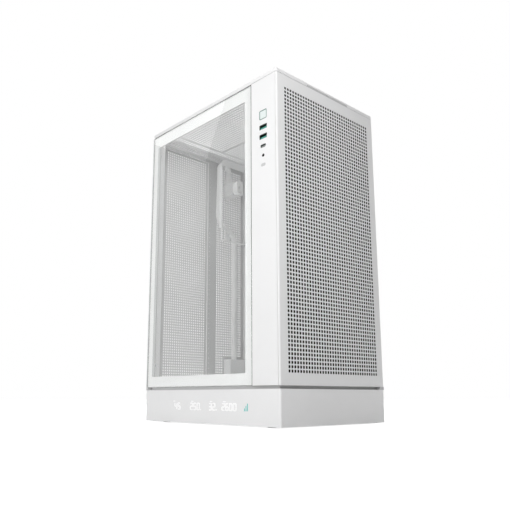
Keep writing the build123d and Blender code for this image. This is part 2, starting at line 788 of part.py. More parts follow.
# ==== mains inlet in its housing at the bottom of the rear wall
housing_x = [inlet_left, inlet_left + inlet_width]
housing_y = [rear_face - inlet_depth, rear_face]
with BuildPart() as inlet_housing:
    block(housing_x, housing_y, [base_top, inlet_top])
    block(
        [housing_x[0] + inlet_wall, housing_x[1] - inlet_wall],
        [housing_y[0] + inlet_wall, housing_y[1]],
        [base_top + inlet_wall, inlet_top - inlet_wall],
        Mode.SUBTRACT,
    )
    fillet(inlet_housing.edges().filter_by(Axis.Z).group_by(Axis.Y)[0], 1.2)
save(inlet_housing, "inlet_housing")

socket_wall = 1.6
socket_back = housing_y[0] + inlet_wall
with BuildPart() as c14_inlet:
    with BuildSketch(facing_front(socket_back)):
        with Locations((inlet_x, inlet_z)):
            Rectangle(inlet_opening_x, inlet_opening_z)
    extrude(amount=-(rear_face + steel - socket_back))
    with BuildSketch(facing_front(rear_face + steel)):
        with Locations((inlet_x, inlet_z)):
            RectangleRounded(inlet_opening_x + 2 * inlet_flange, inlet_opening_z + 2 * inlet_flange, 2)
    extrude(amount=-1.6)
    with BuildSketch(facing_front(socket_back + socket_wall)):
        with Locations((inlet_x, inlet_z)):
            RectangleRounded(inlet_opening_x - 2 * socket_wall, inlet_opening_z - 2 * socket_wall, 2.5)
    extrude(amount=-(inlet_depth + 6), mode=Mode.SUBTRACT)
save(c14_inlet, "c14_inlet")

pin_length = inlet_depth - inlet_wall - socket_wall - 2
with BuildPart() as inlet_pins:
    with BuildSketch(facing_front(socket_back + socket_wall)):
        with Locations((inlet_x - 2, inlet_z + contact_spacing), (inlet_x - 2, inlet_z - contact_spacing)):
            Rectangle(2, 4)
        with Locations((inlet_x + 2, inlet_z)):
            Rectangle(2, 4)
    extrude(amount=-pin_length)
save(inlet_pins, "inlet_pins")

# ==== control pillar on the glass side
pillar_y = [post_front - steel, front + pillar_width]
control_y = front + control_line
pillar_inner = left + cover_wall
socket_mouth = left + 0.3
board_outer = channel_x - board_thickness
usb_outer = [usb_a_width + 2 * usb_wall, usb_a_height + 2 * usb_wall]
usb_c_outer = [usb_c_width + 2 * usb_wall, usb_c_height + 2 * usb_wall]
switch_face = board_outer - switch_height

with BuildPart() as io_pillar:
    block([left, pillar_inner], pillar_y, [body_bottom, panel_top])
    block([pillar_inner, channel_x - 1], [post_front - steel, post_front], [body_bottom, panel_top])
    return_y = [pillar_y[1] - 1.5, pillar_y[1]]
    block([pillar_inner, -post_outer], return_y, [body_bottom, panel_top])
    with BuildSketch(facing_left(pillar_inner)):
        with Locations((-control_y, button_z)):
            RectangleRounded(button_width + 2 * fit_gap, button_height + 2 * fit_gap, button_corner)
        with Locations([(-control_y, z) for z in usb_a_z]):
            RectangleRounded(usb_outer[0] + 2 * fit_gap, usb_outer[1] + 2 * fit_gap, 0.6)
        with Locations((-control_y, usb_c_z)):
            SlotOverall(usb_c_outer[0] + 2 * fit_gap, usb_c_outer[1] + 2 * fit_gap)
        with Locations((-control_y, jack_z)):
            Circle(jack_collar + fit_gap)
        with Locations((-control_y, status_z)):
            SlotOverall(status_width + 2 * fit_gap, status_height + 2 * fit_gap)
    extrude(amount=cover_wall, mode=Mode.SUBTRACT)
    snap_holes_y(post_front, -front_snap_x, steel + 1)
save(io_pillar, "io_pillar")

with BuildPart() as io_board:
    with BuildSketch(facing_left(channel_x)):
        with Locations((-control_y, (button_z + status_z) / 2)):
            RectangleRounded(io_board_width, button_z - status_z + 2 * io_board_margin, 2)
    extrude(amount=board_thickness)
save(io_board, "io_board")

ring_depth = 4
with BuildPart() as button_ring:
    with BuildSketch(facing_left(left + ring_depth)):
        with Locations((-control_y, button_z)):
            RectangleRounded(button_width, button_height, button_corner)
            RectangleRounded(
                button_width - 2 * button_ring_width,
                button_height - 2 * button_ring_width,
                button_corner - 0.5,
                mode=Mode.SUBTRACT,
            )
    extrude(amount=ring_depth)
save(button_ring, "button_ring")

cap_width = button_width - 2 * button_ring_width - 2 * move_gap
cap_height = button_height - 2 * button_ring_width - 2 * move_gap
cap_back = left + ring_depth + move_gap
with BuildPart() as power_button:
    with BuildSketch(facing_left(cap_back)):
        with Locations((-control_y, button_z)):
            RectangleRounded(cap_width, cap_height, button_corner - 0.8)
    extrude(amount=cap_back - left)
    fillet(power_button.faces().sort_by(Axis.X)[0].edges(), 0.3)
    with BuildSketch(facing_left(cap_back + 1)):
        with Locations((-control_y, button_z)):
            RectangleRounded(button_width - 0.4, button_height - 0.4, button_corner)
    extrude(amount=1)
    with BuildSketch(facing_left(cap_back + 1)):
        with Locations((-control_y, button_z)):
            Circle(switch_radius)
    extrude(amount=-(switch_face - 1 - button_travel - move_gap - cap_back - 1))
save(power_button, "power_button")

with BuildPart() as button_switch:
    with BuildSketch(facing_left(board_outer)):
        with Locations((-control_y, button_z)):
            Rectangle(switch_size, switch_size)
    extrude(amount=switch_height)
    with BuildSketch(facing_left(switch_face)):
        with Locations((-control_y, button_z)):
            Circle(switch_radius)
    extrude(amount=1)
save(button_switch, "button_switch")

for name, z in zip(("usb_a_upper", "usb_a_lower"), usb_a_z):
    with BuildPart() as usb_a:
        with BuildSketch(facing_left(board_outer)):
            with Locations((-control_y, z)):
                RectangleRounded(*usb_outer, 0.6)
        extrude(amount=board_outer - socket_mouth)
        with BuildSketch(facing_left(board_outer - 1)):
            with Locations((-control_y, z)):
                RectangleRounded(usb_a_width, usb_a_height, 0.4)
        extrude(amount=board_outer - 1 - socket_mouth, mode=Mode.SUBTRACT)
    save(usb_a, name)

with BuildPart() as usb_tongues:
    with BuildSketch(facing_left(board_outer - 1)):
        with Locations([(-control_y, z - usb_a_height / 2 + usb_tongue_thickness / 2 + 0.6) for z in usb_a_z]):
            Rectangle(usb_tongue_width, usb_tongue_thickness)
    extrude(amount=board_outer - 1 - socket_mouth - 0.8)
save(usb_tongues, "usb_tongues")

with BuildPart() as usb_c_socket:
    with BuildSketch(facing_left(board_outer)):
        with Locations((-control_y, usb_c_z)):
            SlotOverall(*usb_c_outer)
    extrude(amount=board_outer - socket_mouth)
    with BuildSketch(facing_left(board_outer - 1)):
        with Locations((-control_y, usb_c_z)):
            SlotOverall(usb_c_width, usb_c_height)
    extrude(amount=board_outer - 1 - socket_mouth, mode=Mode.SUBTRACT)
save(usb_c_socket, "usb_c_socket")

with BuildPart() as usb_c_tongue:
    with BuildSketch(facing_left(board_outer - 1)):
        with Locations((-control_y, usb_c_z)):
            Rectangle(usb_c_tongue_width, usb_c_tongue_thickness)
    extrude(amount=board_outer - 1 - socket_mouth - 0.6)
save(usb_c_tongue, "usb_c_tongue")

with BuildPart() as audio_jack:
    with BuildSketch(facing_left(board_outer)):
        with Locations((-control_y, jack_z)):
            Rectangle(2 * jack_collar + 1, 2 * jack_collar)
    extrude(amount=board_outer - pillar_inner - 0.6)
    with BuildSketch(facing_left(pillar_inner + 0.6)):
        with Locations((-control_y, jack_z)):
            Circle(jack_collar)
    extrude(amount=pillar_inner + 0.6 - left - 0.1)
    with BuildSketch(facing_left(left + jack_depth)):
        with Locations((-control_y, jack_z)):
            Circle(jack_radius)
    extrude(amount=jack_depth, mode=Mode.SUBTRACT)
save(audio_jack, "audio_jack")

with BuildPart() as status_window:
    with BuildSketch(facing_left(board_outer)):
        with Locations((-control_y, status_z)):
            SlotOverall(status_width, status_height)
    extrude(amount=board_outer - left - 0.1)
save(status_window, "status_window")

# ==== glass side panel, which pulls off on four snaps
glass_inner = left + glass_thickness
frame_inner = glass_inner + steel
glass_zs = [body_bottom, panel_top]
window_y = [glass_front + border_front, glass_rear - border_rear]
window_z = [body_bottom + border_bottom, panel_top - border_top]

with BuildPart() as side_glass:
    block([left, glass_inner], [glass_front, glass_rear], glass_zs)
    chamfer(side_glass.faces().sort_by(Axis.X)[0].edges(), 0.5)
save(side_glass, "side_glass")

frame_margin = 1.5
with BuildPart() as glass_frame:
    with BuildSketch(facing_left(frame_inner)):
        with Locations((-(glass_front + glass_rear) / 2, body_middle)):
            Rectangle(glass_rear - glass_front - 2 * frame_margin, body_height - 2 * frame_margin)
        with Locations((-sum(window_y) / 2, sum(window_z) / 2)):
            RectangleRounded(
                window_y[1] - window_y[0] + 2, window_z[1] - window_z[0] + 2, 2, mode=Mode.SUBTRACT
            )
    extrude(amount=steel)
save(glass_frame, "glass_frame")


def studs(plane, places, length):
    # Round-nosed studs that snap into the sockets on the posts.
    with BuildPart() as pins:
        with BuildSketch(plane):
            with Locations(places):
                Circle(snap_radius)
        extrude(amount=length)
        tips = pins.faces().filter_by(GeomType.PLANE).sort_by(Axis(plane.origin, plane.z_dir))
        fillet(tips[-len(places) :].edges(), snap_radius * 0.5)
    return pins


def sockets(plane, places):
    # Rings on the inner face of a leg, one round each stud.
    with BuildSketch(plane) as rings:
        with Locations(places):
            Circle(snap_outer)
            Circle(snap_radius + move_gap, mode=Mode.SUBTRACT)
    extrude(rings.sketch, amount=snap_socket_height)


left_inner = -post_outer + steel
facing_right = Plane(origin=(0, 0, 0), x_dir=(0, 1, 0), z_dir=(1, 0, 0))
facing_rear = Plane(origin=(0, 0, 0), x_dir=(-1, 0, 0), z_dir=(0, 1, 0))
glass_stud_places = [(y, z) for y in (snap_front_y, snap_rear_y) for z in snap_heights]
right_stud_places = [(-y, z) for y in (right_snap_front_y, snap_rear_y) for z in snap_heights]
front_stud_places = [(x * front_snap_x, z) for x in (-1, 1) for z in snap_heights]
lid_stud_places = [(x * lid_snap_x, y) for x in (-1, 1) for y in lid_snap_y]
front_inner = front + panel_steel
right_inner = right - panel_steel
lid_inner = case_height - panel_steel
stud_side = left_inner + snap_reach

glass_snaps = studs(facing_right.offset(frame_inner), glass_stud_places, stud_side - frame_inner)
save(glass_snaps, "glass_snaps")

with BuildPart() as snap_sockets:
    sockets(facing_right.offset(left_inner), glass_stud_places)
    sockets(facing_left(-left_inner), right_stud_places)
    sockets(facing_rear.offset(post_front + steel), front_stud_places)
    sockets(Plane.XY.offset(roof_top), lid_stud_places)
save(snap_sockets, "snap_sockets")

# ==== front panel: one punched sheet with short side returns
front_columns = int((case_width - 2 * front_margin_x) / front_pitch)
front_rows = int((body_height - 2 * front_margin_z) / front_pitch)
front_slot_length = front_columns * front_pitch - (front_pitch - front_hole)
return_depth = front_space - 1.3 - move_gap
with BuildPart() as front_panel:
    with BuildSketch(Plane.XY.offset(body_bottom)) as tray_section:
        with Locations((0, front + return_depth / 2)):
            Rectangle(case_width, return_depth)
        fillet(tray_section.vertices().group_by(Axis.Y)[0], edge_radius)
        with Locations((0, front_inner + return_depth / 2)):
            Rectangle(case_width - 2 * panel_steel, return_depth, mode=Mode.SUBTRACT)
    extrude(amount=body_height)
    with BuildSketch(facing_front(front_inner)) as front_slots:
        with Locations((0, body_middle - front_field_drop)):
            with GridLocations(1, front_pitch, 1, front_rows):
                Rectangle(front_slot_length, front_slot)
    extrude(amount=panel_steel, mode=Mode.SUBTRACT)
save(front_panel, "front_panel")

filter_x = front_columns * front_pitch / 2 + filter_margin
filter_z = front_rows * front_pitch / 2 + filter_margin
with BuildPart() as front_filter:
    with BuildSketch(facing_rear.offset(front_inner)):
        with Locations((0, body_middle - front_field_drop)):
            Rectangle(2 * filter_x, 2 * filter_z)
    extrude(amount=filter_thickness)
save(front_filter, "front_filter")

front_stud_length = post_front + steel + snap_reach - front_inner
front_snaps = studs(facing_rear.offset(front_inner), [(-x, z) for x, z in front_stud_places], front_stud_length)
save(front_snaps, "front_snaps")

# ==== right side panel, steel, perforated beside the power supply
right_y = [front + return_depth + move_gap, glass_rear]
right_field_front = 142  # both from the rear face
right_field_rear = 28
right_field_drop = 169.5
right_field_y = [rear - right_field_front, rear - right_field_rear]
right_field_z = [ceiling - right_field_drop, ceiling - rear_field_margin]
with BuildPart() as right_panel:
    with BuildSketch(facing_left(right)):
        with Locations((-sum(right_y) / 2, body_middle)):
            Rectangle(right_y[1] - right_y[0], body_height)
        mesh_field([-right_field_y[1], -right_field_y[0]], right_field_z)
    extrude(amount=panel_steel)
save(right_panel, "right_panel")

right_snaps = studs(facing_left(right_inner), right_stud_places, right_inner + stud_side)
save(right_snaps, "right_snaps")

# ==== lid: a shallow tray with a finger notch in its front skirt
skirt = 1.6
with BuildPart() as top_lid:
    with BuildSketch(Plane.XY.offset(lid_bottom)):
        RectangleRounded(case_width, case_depth, edge_radius)
    extrude(amount=lid_height)
    fillet(top_lid.faces().sort_by(Axis.Z)[-1].edges(), 0.8)
    with BuildSketch(Plane.XY.offset(lid_bottom)):
        Rectangle(case_width - 2 * skirt, case_depth - 2 * skirt)
    extrude(amount=lid_height - panel_steel, mode=Mode.SUBTRACT)
    block(
        [-lid_notch_length / 2, lid_notch_length / 2],
        [front - 1, front + skirt + 0.5],
        [lid_bottom, lid_bottom + lid_notch],
        Mode.SUBTRACT,
    )
    with BuildSketch(Plane.XY.offset(lid_inner)) as lid_slots:
        lid_field = [case_width - 2 * lid_field_margin, case_depth - 2 * lid_field_margin]
        with GridLocations(1, slot_spacing, 1, int(lid_field[1] // slot_spacing)):
            Rectangle(lid_field[0], fine_slot)
    extrude(amount=panel_steel, mode=Mode.SUBTRACT)
save(top_lid, "top_lid")

lid_snaps = studs(Plane.XY.offset(lid_inner).rotated((180, 0, 0)), [(x, -y) for x, y in lid_stud_places],
                  lid_inner - roof_top - 0.6)
save(lid_snaps, "lid_snaps")
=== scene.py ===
import math

import bmesh
import bpy
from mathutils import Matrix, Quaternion, Vector
from mathutils.geometry import delaunay_2d_cdt


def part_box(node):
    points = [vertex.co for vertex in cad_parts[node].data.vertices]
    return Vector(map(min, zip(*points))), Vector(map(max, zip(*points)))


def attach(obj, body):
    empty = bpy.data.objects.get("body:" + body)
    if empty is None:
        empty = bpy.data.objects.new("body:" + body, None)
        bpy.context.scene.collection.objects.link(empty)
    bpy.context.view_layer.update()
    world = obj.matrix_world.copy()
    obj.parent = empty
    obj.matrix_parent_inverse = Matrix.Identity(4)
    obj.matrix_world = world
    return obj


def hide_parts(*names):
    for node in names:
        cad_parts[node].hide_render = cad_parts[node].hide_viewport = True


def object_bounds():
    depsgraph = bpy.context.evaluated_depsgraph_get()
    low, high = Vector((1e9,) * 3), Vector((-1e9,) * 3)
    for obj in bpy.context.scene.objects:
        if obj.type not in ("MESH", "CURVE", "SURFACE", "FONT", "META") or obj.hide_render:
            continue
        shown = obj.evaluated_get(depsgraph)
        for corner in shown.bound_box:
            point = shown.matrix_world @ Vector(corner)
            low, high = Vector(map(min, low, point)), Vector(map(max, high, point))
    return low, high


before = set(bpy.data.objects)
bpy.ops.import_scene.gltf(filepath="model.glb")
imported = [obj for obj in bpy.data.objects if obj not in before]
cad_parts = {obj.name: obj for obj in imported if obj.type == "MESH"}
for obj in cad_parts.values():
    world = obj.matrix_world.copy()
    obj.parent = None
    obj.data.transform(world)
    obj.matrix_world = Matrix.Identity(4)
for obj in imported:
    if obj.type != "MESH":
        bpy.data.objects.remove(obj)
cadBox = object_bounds()
mm = 0.001
low = cadBox[0]
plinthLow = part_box("plinth_shell")[0]
frontLow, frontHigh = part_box("front_panel")
rearLow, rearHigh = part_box("rear_wall")
glassLow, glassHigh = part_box("side_glass")
lidLow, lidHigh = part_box("top_lid")
print("frame loaded:", len(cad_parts), "nodes")


# material and node helpers

def newMaterial(name):
    material = bpy.data.materials.new(name)
    material.use_nodes = True
    tree = material.node_tree
    return material, tree, tree.nodes["Principled BSDF"]


def newGroup(name, inputs, outputs):
    tree = bpy.data.node_groups.new(name, "ShaderNodeTree")
    for label, value in inputs.items():
        kind = "NodeSocketColor" if isinstance(value, tuple) else "NodeSocketFloat"
        socket = tree.interface.new_socket(name=label, in_out="INPUT", socket_type=kind)
        socket.default_value = value
    for label, kind in outputs.items():
        tree.interface.new_socket(name=label, in_out="OUTPUT", socket_type=kind)
    start = tree.nodes.new("NodeGroupInput")
    end = tree.nodes.new("NodeGroupOutput")
    return tree, start, end


def feed(tree, value, socket):
    # a plain number is set on the socket, and another node's output is linked to it
    if isinstance(value, (int, float)):
        socket.default_value = value
    else:
        tree.links.new(value, socket)


def noiseNode(tree, scale, detail=2.0, roughness=0.5, stretch=(1, 1, 1)):
    # a noise that reads object coordinates, in metres, so its grain is a real size
    coords = tree.nodes.new("ShaderNodeTexCoord")
    mapping = tree.nodes.new("ShaderNodeMapping")
    mapping.inputs["Scale"].default_value = stretch
    noise = tree.nodes.new("ShaderNodeTexNoise")
    noise.inputs["Detail"].default_value = detail
    noise.inputs["Roughness"].default_value = roughness
    tree.links.new(coords.outputs["Object"], mapping.inputs["Vector"])
    tree.links.new(mapping.outputs[0], noise.inputs["Vector"])
    feed(tree, scale, noise.inputs["Scale"])
    return noise.outputs["Fac"]


def rangeNode(tree, value, toMin, toMax, fromMin=0.3, fromMax=0.7):
    node = tree.nodes.new("ShaderNodeMapRange")
    tree.links.new(value, node.inputs["Value"])
    node.inputs["From Min"].default_value = fromMin
    node.inputs["From Max"].default_value = fromMax
    feed(tree, toMin, node.inputs["To Min"])
    feed(tree, toMax, node.inputs["To Max"])
    return node.outputs[0]


def mathNode(tree, operation, first, second):
    node = tree.nodes.new("ShaderNodeMath")
    node.operation = operation
    feed(tree, first, node.inputs[0])
    feed(tree, second, node.inputs[1])
    return node.outputs[0]


# camera and light

camera = {
    "azimuth": 42.31,  # degrees from +Y towards +X
    "elevation": 11.2,
    "lens": 41.37,
    "sensor": 36,
    "clipStart": 0.01,
    "shift": (0.0271, 0.0492),
    "fromCorner": (-0.4847, -0.4671, 0.0347),  # metres, from the plinth's near bottom corner
}

lamps = {
    "keyLight": {"power": 2.3, "size": 0.4, "place": (-0.4, -0.56, 0.54), "target": (-0.05, -0.05, 0.24)},
    "sideLight": {"power": 7.8, "size": 0.8, "place": (-1.15, -0.06, 0.1), "target": (-0.1, 0, 0.25)},
    "backLight": {"power": 13.0, "size": 1.0, "place": (1.25, 1.15, 0.9), "target": (0, 0, 0.25)},
    "topLight": {"power": 30.0, "size": 1.5, "place": (0.3, 0.2, 2.4), "target": (0, 0, 0.3)},
    "cardLight": {
        "power": 3.3,
        "size": 0.8,
        "place": (-1.02, 1.319, 1.511),
        "target": (0, 1.319, 1.511),
        "tilt": -27.8,  # degrees, so that its edge crosses the pane on a slant
    },
}

studio = {
    "ambient": 0.1,  # strength of the world as a lamp; where it is seen, it is 1
    "floorReach": 6.0,
    "floorDrop": 0.0002,  # below the pads
    "floorGlow": 0.9,
    "floorColour": (0.8, 0.8, 0.8, 1),
    "floorRoughness": 0.9,
    "floorSpecular": 0.1,
}


def makeCamera():
    data = bpy.data.cameras.new("studioCamera")
    data.lens = camera["lens"]
    data.sensor_width = camera["sensor"]
    data.shift_x, data.shift_y = camera["shift"]
    data.clip_start = camera["clipStart"]
    obj = bpy.data.objects.new("studioCamera", data)
    corner = Vector((low.x, low.y, plinthLow.z))
    obj.location = corner + Vector(camera["fromCorner"])
    obj.rotation_euler = (math.radians(90 + camera["elevation"]), 0, -math.radians(camera["azimuth"]))
    bpy.context.scene.collection.objects.link(obj)
    bpy.context.scene.camera = obj


def areaLight(name, lamp):
    data = bpy.data.lights.new(name, "AREA")
    data.energy = lamp["power"]
    data.size = lamp["size"]
    obj = bpy.data.objects.new(name, data)
    obj.location = lamp["place"]
    aim = (Vector(lamp["target"]) - Vector(lamp["place"])).to_track_quat("-Z", "Y")
    turn = Quaternion((0, 0, 1), math.radians(lamp.get("tilt", 0)))
    obj.rotation_euler = (aim @ turn).to_euler()
    obj.visible_transmission = False  # lamps reach the inside once, through the pane's shadow
    bpy.context.scene.collection.objects.link(obj)


def seenDirectly(tree):
    # 1 for rays from the camera and for what gloss and glass show, 0 for rays that light the scene
    path = tree.nodes.new("ShaderNodeLightPath").outputs
    glossy = mathNode(tree, "MAXIMUM", path["Is Camera Ray"], path["Is Glossy Ray"])
    shown = mathNode(tree, "MAXIMUM", glossy, path["Is Transmission Ray"])
    # past a diffuse bounce the background would light what is behind glass
    early = mathNode(tree, "LESS_THAN", path["Diffuse Depth"], 0.5)
    return mathNode(tree, "MULTIPLY", shown, early)


def makeWorld():
    world = bpy.data.worlds.new("studioWorld")
    bpy.context.scene.world = world
    world.use_nodes = True
    tree = world.node_tree
    background = tree.nodes["Background"]
    background.inputs["Color"].default_value = (1, 1, 1, 1)
    strength = rangeNode(tree, seenDirectly(tree), studio["ambient"], 1.0, 0.0, 1.0)
    tree.links.new(strength, background.inputs["Strength"])


def makeFloor():
    mesh = bpy.data.meshes.new("studioFloor")
    reach, floorZ = studio["floorReach"], low.z - studio["floorDrop"]
    corners = [(-reach, -reach, floorZ), (reach, -reach, floorZ), (reach, reach, floorZ), (-reach, reach, floorZ)]
    mesh.from_pydata(corners, [], [(0, 1, 2, 3)])
    floor = bpy.data.objects.new("studioFloor", mesh)
    bpy.context.scene.collection.objects.link(floor)
    material, tree, shader = newMaterial("studioFloor")
    shader.inputs["Base Color"].default_value = studio["floorColour"]
    shader.inputs["Roughness"].default_value = studio["floorRoughness"]
    shader.inputs["Specular IOR Level"].default_value = studio["floorSpecular"]
    glow = tree.nodes.new("ShaderNodeEmission")
    glow.inputs["Color"].default_value = (1, 1, 1, 1)
    tree.links.new(mathNode(tree, "MULTIPLY", seenDirectly(tree), studio["floorGlow"]), glow.inputs["Strength"])
    both = tree.nodes.new("ShaderNodeAddShader")
    tree.links.new(shader.outputs[0], both.inputs[0])
    tree.links.new(glow.outputs[0], both.inputs[1])
    tree.links.new(both.outputs[0], tree.nodes["Material Output"].inputs["Surface"])
    mesh.materials.append(material)


makeCamera()
makeWorld()
for lampName, lamp in lamps.items():
    areaLight(lampName, lamp)
bpy.context.scene.view_settings.view_transform = "Standard"
makeFloor()
print("camera and studio ready")


# shared shader groups

finishNoise = {
    "grainDetail": 3.0,
    "grainRoughness": 0.55,
    "driftScale": 9.0,
    "patchScale": 46.0,
    "patchDetail": 5.0,
    "patchRoughness": 0.62,
    "dustRange": (0.52, 0.78),  # of the patches, so that dust lies in a few of them
}
brushNoise = {"detail": 4.0, "roughness": 0.6, "stretch": (1.0, 1.0, 0.06), "roughRange": (-0.06, 0.08)}


def makeFinishGroup():
    # the coat itself: an orange-peel or spark grain, a slow drift of tone, and faint dust in patches
    tree, start, end = newGroup(
        "surfaceFinish",
        {
            "Colour": (0.9, 0.9, 0.9, 1.0),
            "Grain Scale": 1800.0,
            "Tone": 0.015,
            "Dust": 0.02,
            "Roughness": 0.5,
            "Roughness Spread": 0.06,
        },
        {"Colour": "NodeSocketColor", "Roughness": "NodeSocketFloat", "Height": "NodeSocketFloat"},
    )
    look = finishNoise
    grain = noiseNode(tree, start.outputs["Grain Scale"], look["grainDetail"], look["grainRoughness"])
    drift = noiseNode(tree, look["driftScale"])
    patches = noiseNode(tree, look["patchScale"], look["patchDetail"], look["patchRoughness"])
    tone = mathNode(tree, "MULTIPLY", rangeNode(tree, drift, -1.0, 1.0), start.outputs["Tone"])
    dust = rangeNode(tree, patches, 0.0, 1.0, *look["dustRange"])
    speck = mathNode(tree, "MULTIPLY", dust, start.outputs["Dust"])
    value = mathNode(tree, "SUBTRACT", mathNode(tree, "ADD", 1.0, tone), speck)
    shade = tree.nodes.new("ShaderNodeHueSaturation")
    tree.links.new(start.outputs["Colour"], shade.inputs["Color"])
    tree.links.new(value, shade.inputs["Value"])
    spread = mathNode(tree, "MULTIPLY", rangeNode(tree, patches, -1.0, 1.0), start.outputs["Roughness Spread"])
    tree.links.new(shade.outputs[0], end.inputs["Colour"])
    tree.links.new(mathNode(tree, "ADD", start.outputs["Roughness"], spread), end.inputs["Roughness"])
    tree.links.new(grain, end.inputs["Height"])
    return tree


def makeBrushGroup():
    # fine parallel lines, as rolling, drawing or brushing leaves on metal
    tree, start, end = newGroup(
        "brushedLines",
        {"Colour": (0.7, 0.7, 0.7, 1.0), "Line Scale": 900.0, "Contrast": 0.12, "Roughness": 0.3},
        {"Colour": "NodeSocketColor", "Roughness": "NodeSocketFloat", "Height": "NodeSocketFloat"},
    )
    look = brushNoise
    lines = noiseNode(tree, start.outputs["Line Scale"], look["detail"], look["roughness"], look["stretch"])
    lowest = mathNode(tree, "SUBTRACT", 1.0, start.outputs["Contrast"])
    shade = tree.nodes.new("ShaderNodeHueSaturation")
    tree.links.new(start.outputs["Colour"], shade.inputs["Color"])
    tree.links.new(rangeNode(tree, lines, lowest, 1.0), shade.inputs["Value"])
    tree.links.new(shade.outputs[0], end.inputs["Colour"])
    rough = mathNode(tree, "ADD", start.outputs["Roughness"], rangeNode(tree, lines, *look["roughRange"]))
    tree.links.new(rough, end.inputs["Roughness"])
    tree.links.new(lines, end.inputs["Height"])
    return tree


finishGroup = makeFinishGroup()
brushGroup = makeBrushGroup()


# materials

paintFinish = {
    "roughness": 0.5, "spread": 0.05, "specular": 0.4,
    "grain": 1800.0, "tone": 0.012, "dust": 0.015, "depth": 0.00004,
}
metalFinish = {"roughness": 0.3, "lines": 900.0, "contrast": 0.12, "depth": 0.00002}
glowFinish = {"roughness": 0.35, "grain": 700.0, "dim": 0.93, "rampEnds": (0.3, 0.7)}


def addBump(tree, shader, height, depth):
    bump = tree.nodes.new("ShaderNodeBump")
    bump.inputs["Distance"].default_value = depth
    tree.links.new(height, bump.inputs["Height"])
    tree.links.new(bump.outputs[0], shader.inputs["Normal"])


def placeGroup(tree, shader, group, values, depth):
    # one of the shared groups with its own values, feeding colour, roughness and relief
    node = tree.nodes.new("ShaderNodeGroup")
    node.node_tree = group
    for label, value in values.items():
        node.inputs[label].default_value = value
    tree.links.new(node.outputs["Colour"], shader.inputs["Base Color"])
    tree.links.new(node.outputs["Roughness"], shader.inputs["Roughness"])
    addBump(tree, shader, node.outputs["Height"], depth)


def finishMaterial(name, look):
    # any painted, moulded or rubber surface
    look = {**paintFinish, **look}
    material, tree, shader = newMaterial(name)
    values = {
        "Colour": (*look["colour"], 1),
        "Grain Scale": look["grain"],
        "Tone": look["tone"],
        "Dust": look["dust"],
        "Roughness": look["roughness"],
        "Roughness Spread": look["spread"],
    }
    placeGroup(tree, shader, finishGroup, values, look["depth"])
    shader.inputs["Specular IOR Level"].default_value = look["specular"]
    return material


def metalMaterial(name, look):
    look = {**metalFinish, **look}
    material, tree, shader = newMaterial(name)
    values = {
        "Colour": (*look["colour"], 1),
        "Line Scale": look["lines"],
        "Contrast": look["contrast"],
        "Roughness": look["roughness"],
    }
    placeGroup(tree, shader, brushGroup, values, look["depth"])
    shader.inputs["Metallic"].default_value = 1.0
    return material


def glowMaterial(name, look):
    # light that comes out through a moulded face
    look = {**glowFinish, **look}
    material, tree, shader = newMaterial(name)
    ramp = tree.nodes.new("ShaderNodeValToRGB")
    dark, bright = ramp.color_ramp.elements
    dark.position, bright.position = look["rampEnds"]
    dark.color = (*[c * look["dim"] for c in look["glow"]], 1)
    bright.color = (*look["glow"], 1)
    tree.links.new(noiseNode(tree, look["grain"]), ramp.inputs["Fac"])
    tree.links.new(ramp.outputs[0], shader.inputs["Emission Color"])
    shader.inputs["Base Color"].default_value = (*look["colour"], 1)
    shader.inputs["Emission Strength"].default_value = look["strength"]
    shader.inputs["Roughness"].default_value = look["roughness"]
    return material


def glassMaterial(look):
    material, tree, shader = newMaterial("temperedGlass")
    shader.inputs["Base Color"].default_value = (*look["colour"], 1)
    shader.inputs["Transmission Weight"].default_value = 1.0
    shader.inputs["IOR"].default_value = look["ior"]
    smears = noiseNode(tree, look["smearScale"], look["smearDetail"], look["smearRoughness"])
    tree.links.new(rangeNode(tree, smears, 0.0, look["smear"], *look["smearRange"]), shader.inputs["Roughness"])
    path = tree.nodes.new("ShaderNodeLightPath")  # lamps reach what is behind the pane
    clear = tree.nodes.new("ShaderNodeBsdfTransparent")
    clear.inputs["Color"].default_value = (*look["shade"], 1)
    mix = tree.nodes.new("ShaderNodeMixShader")
    tree.links.new(path.outputs["Is Shadow Ray"], mix.inputs["Fac"])
    tree.links.new(shader.outputs[0], mix.inputs[1])
    tree.links.new(clear.outputs[0], mix.inputs[2])
    tree.links.new(mix.outputs[0], tree.nodes["Material Output"].inputs["Surface"])
    return material


def boardMaterial(look):
    # solder mask over a maze of tracks
    material, tree, shader = newMaterial("solderMask")
    coords = tree.nodes.new("ShaderNodeTexCoord")
    tracks = tree.nodes.new("ShaderNodeTexVoronoi")
    tracks.distance = "MANHATTAN"
    tracks.feature = "DISTANCE_TO_EDGE"
    tracks.inputs["Scale"].default_value = look["trackScale"]
    tree.links.new(coords.outputs["Object"], tracks.inputs["Vector"])
    edge = rangeNode(tree, tracks.outputs["Distance"], 1.0, 0.0, *look["trackEdge"])
    mix = tree.nodes.new("ShaderNodeMix")
    mix.data_type = "RGBA"
    mix.inputs["A"].default_value = (*look["mask"], 1)
    mix.inputs["B"].default_value = (*look["track"], 1)
    tree.links.new(edge, mix.inputs["Factor"])
    tree.links.new(mix.outputs["Result"], shader.inputs["Base Color"])
    shader.inputs["Roughness"].default_value = look["roughness"]
    addBump(tree, shader, edge, look["depth"])
    return material


